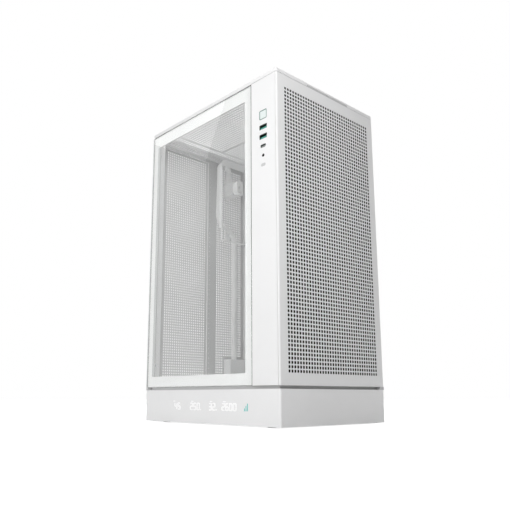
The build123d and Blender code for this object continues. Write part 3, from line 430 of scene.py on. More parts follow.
looks = {
    "outerCoat": {"colour": (0.86, 0.86, 0.862), "roughness": 0.46, "grain": 2200.0, "depth": 0.00003},
    # brighter than the outer coat: painted light on the white coat inside, most of all on the roof's underside
    "innerCoatPaintedLight": {"colour": (0.92, 0.92, 0.922), "roughness": 0.55, "grain": 1900.0, "tone": 0.02},
    "roofCoatPaintedLight": {"colour": (0.92, 0.92, 0.922), "roughness": 0.5, "grain": 1900.0, "tone": 0.01},
    # a darker copy of the white coat: painted shade on the rear sheet's inside
    "sheetCoatPaintedShade": {"colour": (0.66, 0.66, 0.662), "roughness": 0.55, "grain": 1900.0, "tone": 0.02},
    # a darker copy of the white coat: painted shade on the pane's frame and the rear left post
    "frameCoatPaintedShade": {"colour": (0.55, 0.55, 0.553), "roughness": 0.6, "grain": 1900.0, "tone": 0.02},
    "pillarPlastic": {"colour": (0.88, 0.88, 0.882), "roughness": 0.42, "grain": 2600.0, "depth": 0.00002},
    "plinthPlastic": {"colour": (0.88, 0.88, 0.882), "roughness": 0.44, "grain": 2600.0, "depth": 0.00002},
    # the neck's grey is painted shade in the slit under the body, darker than the plinth's own white
    "neckPaintedShade": {"colour": (0.56, 0.56, 0.563), "roughness": 0.6, "grain": 2000.0},
    "foamStrip": {"colour": (0.3, 0.3, 0.305), "roughness": 0.9, "grain": 1200.0, "depth": 0.0001},
    "printedWhite": {"colour": (0.86, 0.86, 0.86), "roughness": 0.6, "grain": 3000.0, "depth": 0.00001},
    "leadVinyl": {"colour": (0.93, 0.93, 0.93), "roughness": 0.5, "grain": 1100.0, "depth": 0.00005},
    "housingPlastic": {"colour": (0.92, 0.92, 0.922), "roughness": 0.5, "grain": 1500.0},
    "blackPlastic": {"colour": (0.02, 0.02, 0.021), "roughness": 0.5, "grain": 2000.0},
    "portTongue": {"colour": (0.06, 0.33, 0.26), "roughness": 0.4, "grain": 2500.0},
    # a dust filter behind the front holes, made near black as painted shade of the dim inside
    "filterMeshAndPaintedShade": {
        "colour": (0.008, 0.008, 0.009), "roughness": 0.9, "grain": 1500.0, "depth": 0.0002, "dust": 0.1,
    },
    "rubber": {"colour": (0.2, 0.2, 0.205), "roughness": 0.85, "grain": 1400.0, "depth": 0.00008, "dust": 0.1},
    "stainlessPlate": {"colour": (0.72, 0.73, 0.74), "roughness": 0.28},
    "portShell": {"colour": (0.16, 0.2, 0.19), "roughness": 0.36, "lines": 1400.0},
    "turnedBrass": {"colour": (0.78, 0.58, 0.27), "roughness": 0.25, "lines": 1600.0},
    "contactGold": {"colour": (0.9, 0.68, 0.3), "roughness": 0.22, "lines": 2000.0},
    "typeTongue": {"colour": (0.5, 0.51, 0.51), "roughness": 0.4, "grain": 2500.0},
    "statusLens": {"colour": (0.6, 0.6, 0.605), "roughness": 0.35, "grain": 2600.0, "depth": 0.00001},
    "seamSeal": {"colour": (0.6, 0.6, 0.602), "roughness": 0.8, "grain": 1400.0, "depth": 0.00006},
    "buttonFace": {"colour": (0.8, 0.86, 0.85), "roughness": 0.4, "grain": 2600.0, "depth": 0.00002},
    "mintRing": {"colour": (0.16, 0.25, 0.235), "glow": (0.4, 0.85, 0.72), "strength": 0.03},
    "lightGuide": {"colour": (0.86, 0.87, 0.87), "glow": (0.9, 0.95, 0.95), "strength": 0.1},
    "digitGlow": {"colour": (0.92, 0.92, 0.92), "glow": (1.0, 1.0, 1.0), "strength": 0.46},
    "cyanGlow": {"colour": (0.05, 0.45, 0.42), "glow": (0.05, 0.75, 0.7), "strength": 0.12},
    "glass": {
        "colour": (0.985, 0.992, 0.988), "shade": (0.99, 0.995, 0.99), "ior": 1.45,
        "smear": 0.03, "smearScale": 14.0, "smearDetail": 4.0, "smearRoughness": 0.6, "smearRange": (0.45, 0.8),
    },
    "board": {
        "mask": (0.01, 0.08, 0.045), "track": (0.03, 0.17, 0.09), "trackScale": 420.0, "trackEdge": (0.02, 0.07),
        "roughness": 0.35, "depth": 0.00003,
    },
}

metals = ("stainlessPlate", "portShell", "turnedBrass", "contactGold")
glows = ("mintRing", "lightGuide", "digitGlow", "cyanGlow")
materials = {}
for name, look in looks.items():
    if name == "glass":
        materials[name] = glassMaterial(look)
    elif name == "board":
        materials[name] = boardMaterial(look)
    elif name in metals:
        materials[name] = metalMaterial(name, look)
    elif name in glows:
        materials[name] = glowMaterial(name, look)
    else:
        materials[name] = finishMaterial(name, look)
print("materials made:", len(materials))


# mesh helpers

def newPiece(name, points, faces, body, material, replaced=(), weld=True):
    mesh = bpy.data.meshes.new(name)
    mesh.from_pydata(points, [], faces)
    if weld:
        work = bmesh.new()
        work.from_mesh(mesh)
        bmesh.ops.remove_doubles(work, verts=work.verts, dist=0.00001)
        work.to_mesh(mesh)
        work.free()
    obj = bpy.data.objects.new(name, mesh)
    bpy.context.scene.collection.objects.link(obj)
    mesh.materials.append(materials[material])
    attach(obj, body)
    if replaced:
        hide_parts(*replaced)
    return obj


def thicken(obj, thickness):
    # the sheet's outer face is modelled, and its thickness goes inwards
    solid = obj.modifiers.new("thickness", "SOLIDIFY")
    solid.thickness = thickness
    solid.offset = -1.0
    solid.use_even_offset = True
    return solid


def softenEdges(obj, width, angle=40):
    bevel = obj.modifiers.new("softEdge", "BEVEL")
    bevel.width = width
    bevel.segments = 2
    bevel.limit_method = "ANGLE"
    bevel.angle_limit = math.radians(angle)


def rectangle(x0, x1, y0, y1):
    return [(x0, y0), (x1, y0), (x1, y1), (x0, y1)]


def arc(cx, cy, radius, fromAngle, toAngle, steps):
    angles = [math.radians(fromAngle + (toAngle - fromAngle) * i / steps) for i in range(steps + 1)]
    return [(cx + radius * math.cos(a), cy + radius * math.sin(a)) for a in angles]


def roundLoop(x, y, radius, steps):
    angles = [2 * math.pi * i / steps for i in range(steps)]
    return [(x + radius * math.cos(a), y + radius * math.sin(a)) for a in angles]


def slotLoop(x, y, width, height, corner, steps=4):
    # a rectangle with rounded corners, anticlockwise from its lower left
    loop = []
    for quadrant, (sx, sy) in enumerate(((-1, -1), (1, -1), (1, 1), (-1, 1))):
        ox, oy = x + sx * (width / 2 - corner), y + sy * (height / 2 - corner)
        for step in range(steps + 1):
            angle = math.pi + quadrant * math.pi / 2 + (math.pi / 2) * step / steps
            loop.append((ox + corner * math.cos(angle), oy + corner * math.sin(angle)))
    return loop


def boxPoints(lowCorner, highCorner):
    (x0, y0, z0), (x1, y1, z1) = lowCorner, highCorner
    points = [(x, y, z) for x in (x0, x1) for y in (y0, y1) for z in (z0, z1)]
    faces = [(0, 1, 3, 2), (4, 6, 7, 5), (0, 4, 5, 1), (2, 3, 7, 6), (0, 2, 6, 4), (1, 5, 7, 3)]
    return points, faces


def addQuad(points, faces, corners):
    start = len(points)
    points += corners
    faces.append((start, start + 1, start + 2, start + 3))


def addSides(points, faces, profile, z0, z1):
    # upright faces along a profile in plan, on the right side and mirrored on the left one
    for line in (profile, [(-x, y) for x, y in profile][::-1]):
        for (xa, ya), (xb, yb) in zip(line, line[1:]):
            addQuad(points, faces, [(xa, ya, z0), (xb, yb, z0), (xb, yb, z1), (xa, ya, z1)])


def fieldFrom(look, centre, columns, rows, cornerPoints):
    # a perforated field in metres, from a look in millimetres
    return {
        "centre": centre,
        "pitch": look["pitch"] * mm,
        "hole": look["hole"] * mm,
        "corner": look["corner"] * mm,
        "columns": columns,
        "rows": rows,
        "cornerPoints": cornerPoints,
    }


def fieldBetween(look, x, y):
    # as many whole cells as fit between the two pairs of limits
    columns, rows = (int((far - near) / look["pitch"] + 0.001) for near, far in (x, y))
    return fieldFrom(look, (sum(x) / 2 * mm, sum(y) / 2 * mm), columns, rows, 2)


def fieldStart(field):
    width, height = field["columns"] * field["pitch"], field["rows"] * field["pitch"]
    return field["centre"][0] - width / 2, field["centre"][1] - height / 2


def fieldLoop(field):
    # the field's edge, with a point at every cell, so that the plain sheet joins it point to point
    pitch = field["pitch"]
    left, bottom = fieldStart(field)
    right, top = left + field["columns"] * pitch, bottom + field["rows"] * pitch
    loop = [(left + i * pitch, bottom) for i in range(field["columns"])]
    loop += [(right, bottom + i * pitch) for i in range(field["rows"])]
    loop += [(right - i * pitch, top) for i in range(field["columns"])]
    loop += [(left, top - i * pitch) for i in range(field["rows"])]
    return loop


def addCells(points, faces, field):
    # one square cell round each hole
    pitch, hole, perCorner = field["pitch"], field["hole"], field["cornerPoints"]
    left, bottom = fieldStart(field)
    count, middle = 4 * perCorner, perCorner // 2
    for column in range(field["columns"]):
        for row in range(field["rows"]):
            x0, y0 = left + column * pitch, bottom + row * pitch
            cell = len(points)
            ring = cell + 4
            points += rectangle(x0, x0 + pitch, y0, y0 + pitch)
            points += slotLoop(x0 + pitch / 2, y0 + pitch / 2, hole, hole, field["corner"], perCorner - 1)
            for side in range(4):
                here, ahead = cell + side, cell + (side + 1) % 4
                if perCorner == 2:
                    a, b = ring + 2 * side, ring + 2 * side + 1
                    faces.append((here, b, a))
                    faces.append((here, ahead, ring + (2 * side + 2) % count, b))
                else:
                    first = perCorner * side + middle
                    curve = [ring + (first + k) % count for k in range(perCorner + 1)]
                    faces.append((here, ahead, *reversed(curve)))


def inside(loop, x, y):
    found = False
    for (x1, y1), (x2, y2) in zip(loop, loop[1:] + loop[:1]):
        if (y1 > y) != (y2 > y) and x < (x2 - x1) * (y - y1) / (y2 - y1) + x1:
            found = not found
    return found


def addPlain(points, faces, outline, holes):
    # the plain sheet between a convex outline and the holes in it
    coords, edges = [], []
    for loop in [outline, *holes]:
        start = len(coords)
        coords += [Vector(p) for p in loop]
        edges += [(start + i, start + (i + 1) % len(loop)) for i in range(len(loop))]
    verts, _, tris, *_ = delaunay_2d_cdt(coords, edges, [], 0, 1e-7)
    boxes = []
    for hole in holes:
        xs, ys = zip(*hole)
        boxes.append((min(xs), max(xs), min(ys), max(ys)))
    start = len(points)
    points += [(v.x, v.y) for v in verts]
    for tri in tris:
        cx = sum(verts[i].x for i in tri) / 3
        cy = sum(verts[i].y for i in tri) / 3
        blocked = any(
            x0 < cx < x1 and y0 < cy < y1 and inside(loop, cx, cy)
            for (x0, x1, y0, y1), loop in zip(boxes, holes)
        )
        if not blocked:
            a, b, c = (verts[i] for i in tri)
            if (b - a).cross(c - a) < 0:
                tri = tri[::-1]
            faces.append(tuple(start + i for i in tri))


def perforatedSheet(outline, fields, holes=()):
    points, faces = [], []
    addPlain(points, faces, outline, [fieldLoop(f) for f in fields] + list(holes))
    for field in fields:
        addCells(points, faces, field)
    return points, faces


# front panel

frontLook = {
    "pitch": 5.0, "hole": 3.45, "corner": 0.6, "columns": 35, "rows": 72, "middle": 242.15, "cornerPoints": 3,
    "edge": 2.2, "steel": 0.4,
}


def makeFrontPanel():
    edge = frontLook["edge"] * mm
    centre = (0.0, frontLook["middle"] * mm)
    field = fieldFrom(frontLook, centre, frontLook["columns"], frontLook["rows"], frontLook["cornerPoints"])
    x0, x1, z0, z1 = frontLow.x, frontHigh.x, frontLow.z, frontHigh.z
    flat, faces = perforatedSheet(rectangle(x0 + edge, x1 - edge, z0, z1), [field])
    points = [(x, frontLow.y, z) for x, z in flat]
    turn = arc(x1 - edge, frontLow.y + edge, edge, -90, 0, 6) + [(x1, frontHigh.y)]
    addSides(points, faces, turn, z0, z1)
    obj = newPiece("frontPanel", points, faces, "front_cover", "outerCoat", ["front_panel"])
    thicken(obj, frontLook["steel"] * mm)


# rear sheet

rearLook = {
    "pitch": 4.0,
    "hole": 2.4,
    "corner": 0.5,
    "fieldX": (-76, 6),
    "stripX": (28, 84),
    "height": (56, 424),
    "housingGap": 2,  # between the strip and the inlet housing
    "aboveHousing": 5,
    "inletRim": 2.4,
    "columnX": (14, -81.6),  # the two columns of small round holes
    "columnStart": 64,
    "columnStep": 8,
    "columnCount": 45,
    "roundHole": 0.9,
    "seam": 0.3,  # chamfer where the flange turns out
    "steel": 0.8,
}


def makeRearSheet():
    steel, seam, rim = (rearLook[k] * mm for k in ("steel", "seam", "inletRim"))
    face = rearLow.y + steel
    inletLow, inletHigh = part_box("c14_inlet")
    housingLow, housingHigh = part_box("inlet_housing")
    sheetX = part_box("rear_right_post")[1].x - seam
    nearX, farX = rearLook["stripX"]
    lowZ, highZ = rearLook["height"]
    pitch = rearLook["pitch"]
    stepX = nearX + int((housingLow.x / mm - nearX - rearLook["housingGap"]) / pitch) * pitch
    fields = [
        fieldBetween(rearLook, rearLook["fieldX"], (lowZ, highZ)),
        fieldBetween(rearLook, (nearX, stepX), (lowZ, highZ)),
        fieldBetween(rearLook, (stepX, farX), (housingHigh.z / mm + rearLook["aboveHousing"], highZ)),
    ]
    holes = [rectangle(inletLow.x + rim, inletHigh.x - rim, inletLow.z + rim, inletHigh.z - rim)]
    for x in rearLook["columnX"]:
        for i in range(rearLook["columnCount"]):
            z = rearLook["columnStart"] + rearLook["columnStep"] * i
            holes.append(roundLoop(x * mm, z * mm, rearLook["roundHole"] * mm, 8))
    flat, faces = perforatedSheet(rectangle(-sheetX, sheetX, rearLow.z, rearHigh.z), fields, holes)
    points = [(x, face, z) for x, z in flat]
    faces = [f[::-1] for f in faces]  # the outside faces the rear
    fold = [(rearHigh.x, rearHigh.y), (sheetX + seam, rearHigh.y), (sheetX, rearHigh.y - seam), (sheetX, face)]
    addSides(points, faces, fold, rearLow.z, rearHigh.z)
    obj = newPiece("rearSheet", points, faces, "chassis", "outerCoat", ["rear_wall"])
    obj.data.materials.append(materials["sheetCoatPaintedShade"])
    solid = thicken(obj, steel)
    solid.material_offset = 1  # the greyer coat inside and on the holes' rims, painted shade on the white sheet
    solid.material_offset_rim = 1


# roof sheet under the lid

roofLook = {
    "pitch": 5.0,
    "hole": 3.9,
    "corner": 0.6,
    "fields": (((-85, 5), (-110, 90)), ((10, 80), (-110, 90)), ((-85, 80), (95, 125))),  # limits along X and Y
    "steel": 0.35,
}


def makeRoofSheet():
    roofLow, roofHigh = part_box("top_frame")
    fields = [fieldBetween(roofLook, x, y) for x, y in roofLook["fields"]]
    flat, faces = perforatedSheet(rectangle(roofLow.x, roofHigh.x, roofLow.y, roofHigh.y), fields)
    points = [(x, y, roofHigh.z) for x, y in flat]
    # the roof's coat is the white lifted as painted light on its underside
    obj = newPiece("roofSheet", points, faces, "chassis", "roofCoatPaintedLight", ["top_frame"])
    thicken(obj, roofLook["steel"] * mm)


# lid

lidLook = {
    "margin": 11,  # at least this much plain sheet round the mesh
    "edge": 0.8,
    "corner": 2.2,
    "smallestCorner": 0.2,
    "notch": (-42.5, 42.5),
    "notchHeight": 2.5,
    "notchSlope": 0.8,
    "steel": 0.5,
}
lidMesh = {"pitch": 5.0, "hole": 4.2, "corner": 0.6}


def lidOutline(inset):
    x, y = lidHigh.x - inset, lidHigh.y - inset
    corner = max(lidLook["corner"] * mm - inset, lidLook["smallestCorner"] * mm)
    notch = [v * mm for v in lidLook["notch"]]
    slope = lidLook["notchSlope"] * mm
    loop = [(notch[0] - slope, -y), (notch[0], -y), (notch[1], -y), (notch[1] + slope, -y)]
    for cx, cy, angle in ((x, -y, -90), (x, y, 0), (-x, y, 90), (-x, -y, 180)):
        ox, oy = cx - math.copysign(corner, cx), cy - math.copysign(corner, cy)
        loop += arc(ox, oy, corner, angle, angle + 90, 4)
    return loop


def makeLid():
    edge = lidLook["edge"] * mm
    pitch = lidMesh["pitch"]
    halfX, halfY = (int((v / mm - lidLook["margin"]) / pitch) * pitch for v in (lidHigh.x, lidHigh.y))
    field = fieldBetween(lidMesh, (-halfX, halfX), (-halfY, halfY))
    flat, faces = perforatedSheet(lidOutline(edge), [field])
    points = [(x, y, lidHigh.z) for x, y in flat]
    rings = []
    for step in range(4):
        angle = math.radians(30 * step)
        inset = edge * (1 - math.sin(angle))
        rings.append([(x, y, lidHigh.z - edge * (1 - math.cos(angle))) for x, y in lidOutline(inset)])
    bottom = [(x, y, lidLow.z) for x, y in lidOutline(0)]
    for index in (1, 2):
        x, y, z = bottom[index]
        bottom[index] = (x, y, z + lidLook["notchHeight"] * mm)
    for upper, lower in zip(rings, [*rings[1:], bottom]):
        for i in range(len(upper)):
            j = (i + 1) % len(upper)
            addQuad(points, faces, [upper[i], lower[i], lower[j], upper[j]])
    obj = newPiece("lidShell", points, faces, "lid", "outerCoat", ["top_lid"])
    thicken(obj, lidLook["steel"] * mm)


# right panel, with the rear sheet's pattern beside the supply

rightLook = {"along": (-6, 108), "height": (262, 424)}


def makeRightPanel():
    panelLow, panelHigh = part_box("right_panel")
    field = fieldBetween(rearLook, rightLook["along"], rightLook["height"])
    flat, faces = perforatedSheet(rectangle(panelLow.y, panelHigh.y, panelLow.z, panelHigh.z), [field])
    points = [(panelHigh.x, y, z) for y, z in flat]
    obj = newPiece("rightPanel", points, faces, "right_cover", "outerCoat", ["right_panel"])
    thicken(obj, panelHigh.x - panelLow.x)


makeFrontPanel()
makeRearSheet()
makeRoofSheet()
makeLid()
makeRightPanel()
print("perforated sheets made")


# glass pane, with a printed border behind it

paneLook = {"backGap": 0.16, "arris": 0.45}
borderLook = {
    "front": 13, "rear": 10.5, "bottom": 15, "top": 18.4,  # widths of the print on the four sides
    "edge": 1.0, "corner": 1.5, "film": 0.05,
}


def makePane():
    # the ground edges of a tempered pane, and room for the print behind it
    points, faces = boxPoints(glassLow, (glassHigh.x - paneLook["backGap"] * mm, glassHigh.y, glassHigh.z))
    obj = newPiece("glassPane", points, faces, "side_panel", "glass", ["side_glass"])
    softenEdges(obj, paneLook["arris"] * mm)


def makeGlassPrint():
    film, edge = borderLook["film"] * mm, borderLook["edge"] * mm
    outer = rectangle(-glassHigh.y + edge, -glassLow.y - edge, glassLow.z + edge, glassHigh.z - edge)
    y0, y1 = glassLow.y + borderLook["front"] * mm, glassHigh.y - borderLook["rear"] * mm
    z0, z1 = glassLow.z + borderLook["bottom"] * mm, glassHigh.z - borderLook["top"] * mm
    window = slotLoop(-(y0 + y1) / 2, (z0 + z1) / 2, y1 - y0, z1 - z0, borderLook["corner"] * mm)
    flat, faces = [], []
    addPlain(flat, faces, outer, [window])
    points = [(glassHigh.x - 2 * film, -u, v) for u, v in flat]
    obj = newPiece("glassPrint", points, faces, "side_panel", "printedWhite")
    thicken(obj, film)


stripLook = {"outerGap": 0.7, "innerGap": 0.4, "ahead": 0.62, "overlap": 0.02, "chamfer": 0.2, "endGap": 1.0}


def makeSeamStrip():
    # a foam strip on the pane's front edge, seen as the thin line beside the pillar
    chamfer, endGap = stripLook["chamfer"] * mm, stripLook["endGap"] * mm
    x0, x1 = glassLow.x + stripLook["outerGap"] * mm, glassHigh.x - stripLook["innerGap"] * mm
    y0, y1 = glassLow.y - stripLook["ahead"] * mm, glassLow.y + stripLook["overlap"] * mm
    profile = [(x0, y1), (x0, y0 + chamfer), (x0 + chamfer, y0), (x1, y0), (x1, y1)]
    count = len(profile)
    points = [(x, y, z) for z in (glassLow.z + endGap, glassHigh.z - endGap) for x, y in profile]
    faces = [(i, (i + 1) % count, count + (i + 1) % count, count + i) for i in range(count)]
    faces += [tuple(range(count))[::-1], tuple(range(count, 2 * count))]
    newPiece("seamStrip", points, faces, "side_panel", "foamStrip")


sealLook = {"inset": 0.56, "width": 1.0, "gap": 0.12, "height": 3.4, "corner": 1.6}


def makeLidSeal():
    # a pale seal inside the lid's rim fills the seam above the panels
    outer, inner = sealLook["inset"] * mm, (sealLook["inset"] + sealLook["width"]) * mm
    z0, z1 = glassHigh.z + sealLook["gap"] * mm, lidLow.z + sealLook["height"] * mm
    rings = []
    for inset, z in ((outer, z0), (outer, z1), (inner, z1), (inner, z0)):
        width, depth = 2 * (lidHigh.x - inset), 2 * (lidHigh.y - inset)
        rings.append([(x, y, z) for x, y in slotLoop(0, 0, width, depth, sealLook["corner"] * mm)])
    points, faces = [], []
    for first, second in zip(rings, rings[1:] + rings[:1]):
        for i in range(len(first)):
            j = (i + 1) % len(first)
            addQuad(points, faces, [first[i], first[j], second[j], second[i]])
    newPiece("lidSeal", points, faces, "lid", "seamSeal")


makePane()
makeGlassPrint()
makeSeamStrip()
makeLidSeal()
print("pane, print and seals made")


# display on the plinth: seven-segment numbers, small marks and a bar sign

displayLook = {
    "digitHeight": 9.0,
    "digitWidth": 5.4,
    "step": 7.25,
    "bar": 0.8,
    "gap": 0.12,  # at a segment's ends, as a share of its width
    "middle": 21.5,  # height of the digits' middle above the plinth's underside
    "proud": 0.1,
    "thickness": 0.15,
    "groups": (("45", 200.6), ("250", 166.0), ("32", 127.0), ("2600", 101.5)),  # text, far end from the front
    "dots": (144.2, 112.4),
    "dotLift": 0.7,
    "dotSize": (1.3, 1.3, 0.6),  # width, height, corner
    "marks": (203.0, 163.0, 124.0, 98.0),  # three small marks at each
    "markHeight": 6.6,
    "markStep": 1.5,
    "markSize": (1.0, 0.8, 0.3),
    "sign": 57.0,
    "signBars": (3.4, 6.2, 9.0),
    "signStep": 2.6,
    "signWidth": 1.2,
    "signCorner": 0.4,
}
segments = {"0": "abcdef", "2": "abged", "3": "abgcd", "4": "fgbc", "5": "afgcd", "6": "afgecd"}


def barShape(x0, y0, x1, y1, width):
    # a segment with pointed ends, along X or Y
    half = width / 2
    if abs(x1 - x0) > abs(y1 - y0):
        lower = [(x0, y0), (x0 + half, y0 - half), (x1 - half, y0 - half)]
        return lower + [(x1, y0), (x1 - half, y0 + half), (x0 + half, y0 + half)]
    right = [(x0, y0), (x0 + half, y0 + half), (x0 + half, y1 - half)]
    return right + [(x0, y1), (x0 - half, y1 - half), (x0 - half, y0 + half)]


def digitShapes(character, left, bottom):
    w, h, bar = (displayLook[k] * mm for k in ("digitWidth", "digitHeight", "bar"))
    gap = bar * displayLook["gap"]
    x0, x1 = left + bar / 2, left + w - bar / 2
    y0, ym, y1 = bottom + bar / 2, bottom + h / 2, bottom + h - bar / 2
    lines = {
        "a": (x0 + gap, y1, x1 - gap, y1),
        "g": (x0 + gap, ym, x1 - gap, ym),
        "d": (x0 + gap, y0, x1 - gap, y0),
        "f": (x0, ym + gap, x0, y1 - gap),
        "b": (x1, ym + gap, x1, y1 - gap),
        "e": (x0, y0 + gap, x0, ym - gap),
        "c": (x1, y0 + gap, x1, ym - gap),
    }
    return [barShape(*lines[s], bar) for s in segments[character]]


def polygonArea(shape):
    return sum(x1 * y2 - x2 * y1 for (x1, y1), (x2, y2) in zip(shape, shape[1:] + shape[:1])) / 2


def flatShapes(name, shapes, material):
    # shapes on the plinth's left face, in (distance towards the front, height), as thin solids
    faceX = plinthLow.x - displayLook["proud"] * mm
    points, faces = [], []
    for shape in shapes:
        start = len(points)
        ordered = shape if polygonArea(shape) > 0 else shape[::-1]
        points += [(faceX, -u, v) for u, v in ordered]
        faces.append(tuple(range(start, start + len(shape))))
    obj = newPiece(name, points, faces, "chassis", material)
    thicken(obj, displayLook["thickness"] * mm)


def fromFront(distance):
    # local u on the left face grows towards the front
    return -(low.y + distance * mm)


def makeDisplay():
    bottom = plinthLow.z + (displayLook["middle"] - displayLook["digitHeight"] / 2) * mm
    markZ = plinthLow.z + (displayLook["middle"] + displayLook["markHeight"]) * mm
    dot, mark = ([v * mm for v in displayLook[k]] for k in ("dotSize", "markSize"))
    shapes = []
    for text, far in displayLook["groups"]:
        for index, character in enumerate(text):
            shapes += digitShapes(character, fromFront(far - index * displayLook["step"]), bottom)
    for far in displayLook["dots"]:
        shapes.append(slotLoop(fromFront(far), bottom + displayLook["dotLift"] * mm, *dot, 3))
    for far in displayLook["marks"]:
        for step in range(3):
            shapes.append(slotLoop(fromFront(far - displayLook["markStep"] * step), markZ, *mark, 2))
    flatShapes("displayDigits", shapes, "digitGlow")
    width, corner = displayLook["signWidth"] * mm, displayLook["signCorner"] * mm
    bars = []
    for index, height in enumerate(displayLook["signBars"]):
        u = fromFront(displayLook["sign"] + displayLook["signStep"] * (1 - index))
        bars.append(slotLoop(u, bottom + height / 2 * mm, width, height * mm, corner, 3))
    flatShapes("displayBars", bars, "cyanGlow")


makeDisplay()
print("display made")


# small details inside the ports and on the boards

def boxesPiece(name, boxes, material, soft):
    points, faces = [], []
    for lowCorner, highCorner in boxes:
        newPoints, newFaces = boxPoints(lowCorner, highCorner)
        faces += [tuple(i + len(points) for i in f) for f in newFaces]
        points += newPoints
    obj = newPiece(name, points, faces, "chassis", material, weld=False)
    softenEdges(obj, soft * mm)


usbContact = {
    "places": (-3.5, -1.0, 1.0, 3.5),
    "bottom": 2.84,  # above the shell's underside, on top of the tongue
    "width": 1.2,
    "height": 0.15,
    "ends": (1, 2),  # how far it stops short of the tongue's two ends
    "soft": 0.04,
}
typeContact = {"count": 12, "pitch": 0.5, "width": 0.24, "height": 0.06, "ends": (0.4, 3), "soft": 0.02}


def contactBox(look, tongueLow, tongueHigh, y, z):
    half, (start, end) = look["width"] / 2 * mm, look["ends"]
    return (tongueLow.x + start * mm, y - half, z), (tongueHigh.x - end * mm, y + half, z + look["height"] * mm)


def makePortContacts():
    tongueLow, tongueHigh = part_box("usb_tongues")
    boxes = []
    for node in ("usb_a_upper", "usb_a_lower"):
        shellLow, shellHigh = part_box(node)
        midY = (shellLow.y + shellHigh.y) / 2
        bottom = shellLow.z + usbContact["bottom"] * mm
        for place in usbContact["places"]:
            boxes.append(contactBox(usbContact, tongueLow, tongueHigh, midY + place * mm, bottom))
    boxesPiece("usbContacts", boxes, "contactGold", usbContact["soft"])
    typeLow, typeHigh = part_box("usb_c_tongue")
    typeY = (typeLow.y + typeHigh.y) / 2
    pins = []
    for index in range(typeContact["count"]):
        place = (index - (typeContact["count"] - 1) / 2) * typeContact["pitch"] * mm
        pins.append(contactBox(typeContact, typeLow, typeHigh, typeY + place, typeHigh.z))
    boxesPiece("typeContacts", pins, "contactGold", typeContact["soft"])


boardLook = {
    "chipCount": 9,
    "chipStart": 14,
    "chipStep": 18,
    "chipBottom": 8,
    "chip": (1.2, 7, 7),  # how proud of the board, how long and how high
    "chipSoft": 0.1,
    "plugBottom": 18,
    "plug": (5, 12, 6),
    "plugSoft": 0.3,
}


def boxAt(x, y, z, size):
    # from its low corner in metres, and its size in millimetres
    return (x, y, z), (x + size[0] * mm, y + size[1] * mm, z + size[2] * mm)


def makeBoardParts():
    boardLow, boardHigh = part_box("display_board")
    chips = []
    for index in range(boardLook["chipCount"]):
        y = boardLow.y + (boardLook["chipStart"] + boardLook["chipStep"] * index) * mm
        chips.append(boxAt(boardHigh.x, y, boardLow.z + boardLook["chipBottom"] * mm, boardLook["chip"]))
    boxesPiece("displayChips", chips, "blackPlastic", boardLook["chipSoft"])
    plugY = (boardLow.y + boardHigh.y) / 2 - boardLook["plug"][1] / 2 * mm
    plug = boxAt(boardHigh.x, plugY, boardLow.z + boardLook["plugBottom"] * mm, boardLook["plug"])
    boxesPiece("displayConnector", [plug], "housingPlastic", boardLook["plugSoft"])


jackLook = {"corner": 1.5, "bore": 2.1, "proud": 0.06, "thickness": 0.3}


def makeJackRing():
    # the socket's pale rim, with only its bore dark; the bore's black is painted shade deep in the socket
    jackLow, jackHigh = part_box("audio_jack")
    y, z = (jackLow.y + jackHigh.y) / 2, (jackLow.z + jackHigh.z) / 2
    rim = slotLoop(-y, z, jackHigh.y - jackLow.y, jackHigh.z - jackLow.z, jackLook["corner"] * mm)
    flat, faces = [], []
    addPlain(flat, faces, rim, [roundLoop(-y, z, jackLook["bore"] * mm, 16)])
    points = [(jackLow.x - jackLook["proud"] * mm, -u, v) for u, v in flat]
    obj = newPiece("jackRing", points, faces, "chassis", "pillarPlastic")
    thicken(obj, jackLook["thickness"] * mm)


beadLook = {
    "upright": ((8.0, 9.6), (54, 427), 1.6),  # limits along X, limits in height, depth
    "level": ((-78, 8.0), (425.4, 427), 1.2),
    "sunk": 0.2,
    "soft": 0.3,
}


def makeBeads():
    # shallow beads pressed in the rear sheet beside and above its left field
    beads = []
    for (x0, x1), (z0, z1), depth in (beadLook["upright"], beadLook["level"]):
        lowCorner = (x0 * mm, rearLow.y - depth * mm, z0 * mm)
        beads.append((lowCorner, (x1 * mm, rearLow.y + beadLook["sunk"] * mm, z1 * mm)))
    # the inner coat is the white lifted as painted light
    boxesPiece("rearBeads", beads, "innerCoatPaintedLight", beadLook["soft"])


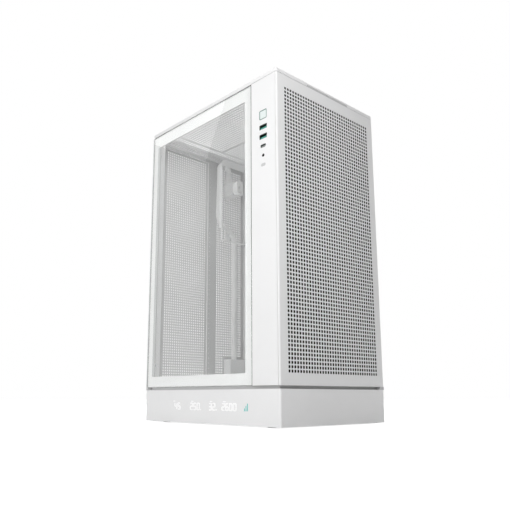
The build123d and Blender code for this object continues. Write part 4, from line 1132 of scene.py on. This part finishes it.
makePortContacts()
makeBoardParts()
makeJackRing()
makeBeads()
print("ports and boards detailed")


# finishes of the CAD pieces

nodeFinish = {
    "pillarPlastic": ("io_pillar",),
    "plinthPlastic": ("plinth_shell",),
    # painted shade: the plinth's neck is greyed so the slit reads dark
    "neckPaintedShade": ("plinth_neck",),
    # painted light: the inside parts get the white coat lifted above the outer coat
    "innerCoatPaintedLight": (
        "plinth_floor", "base_plate", "slot_covers", "slot_clamp", "front_left_post", "front_right_post",
        "rear_right_post", "motherboard_tray", "drive_bracket", "psu_bracket",
    ),
    # painted shade: the frame and the rear left post are greyed copies of the white coat
    "frameCoatPaintedShade": ("glass_frame", "rear_left_post"),
    "leadVinyl": ("ac_lead", "c13_plug"),
    "housingPlastic": ("inlet_housing", "snap_sockets"),
    # black plastic; in the audio jack's bore it is also painted shade
    "blackPlastic": ("c14_inlet", "audio_jack", "button_switch"),
    # the filter's near black is partly its own colour and partly painted shade behind the holes
    "filterMeshAndPaintedShade": ("front_filter",),
    "rubber": ("feet", "tray_grommets"),
    "board": ("io_board", "display_board"),
    "mintRing": ("button_ring",),
    "buttonFace": ("power_button",),
    "lightGuide": ("display_diffuser",),
    "portTongue": ("usb_tongues",),
    "typeTongue": ("usb_c_tongue",),
    "statusLens": ("status_window",),
    "portShell": ("usb_a_upper", "usb_a_lower", "usb_c_socket"),
    "stainlessPlate": (
        "floor_screws", "display_screws", "slot_screws", "bracket_screws", "inlet_pins",
        "glass_snaps", "front_snaps", "right_snaps", "lid_snaps",
    ),
    "turnedBrass": ("standoffs",),
}
softened = {
    "plinth_shell": 0.8, "io_pillar": 0.5, "glass_frame": 0.3, "psu_bracket": 0.3, "inlet_housing": 0.6,
    "motherboard_tray": 0.25, "front_left_post": 0.3, "front_right_post": 0.3, "rear_left_post": 0.3,
    "rear_right_post": 0.3, "power_button": 0.15, "button_ring": 0.1, "feet": 0.3, "c14_inlet": 0.3,
    "slot_clamp": 0.3, "slot_covers": 0.2, "base_plate": 0.2, "plinth_neck": 0.3, "drive_bracket": 0.2,
}

for finish, nodes in nodeFinish.items():
    for node in nodes:
        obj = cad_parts[node]
        obj.data.materials.clear()
        obj.data.materials.append(materials[finish])
for node, width in softened.items():
    softenEdges(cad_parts[node], width * mm, 50)
print("finishes given to", sum(len(nodes) for nodes in nodeFinish.values()), "nodes")

print("scene complete")
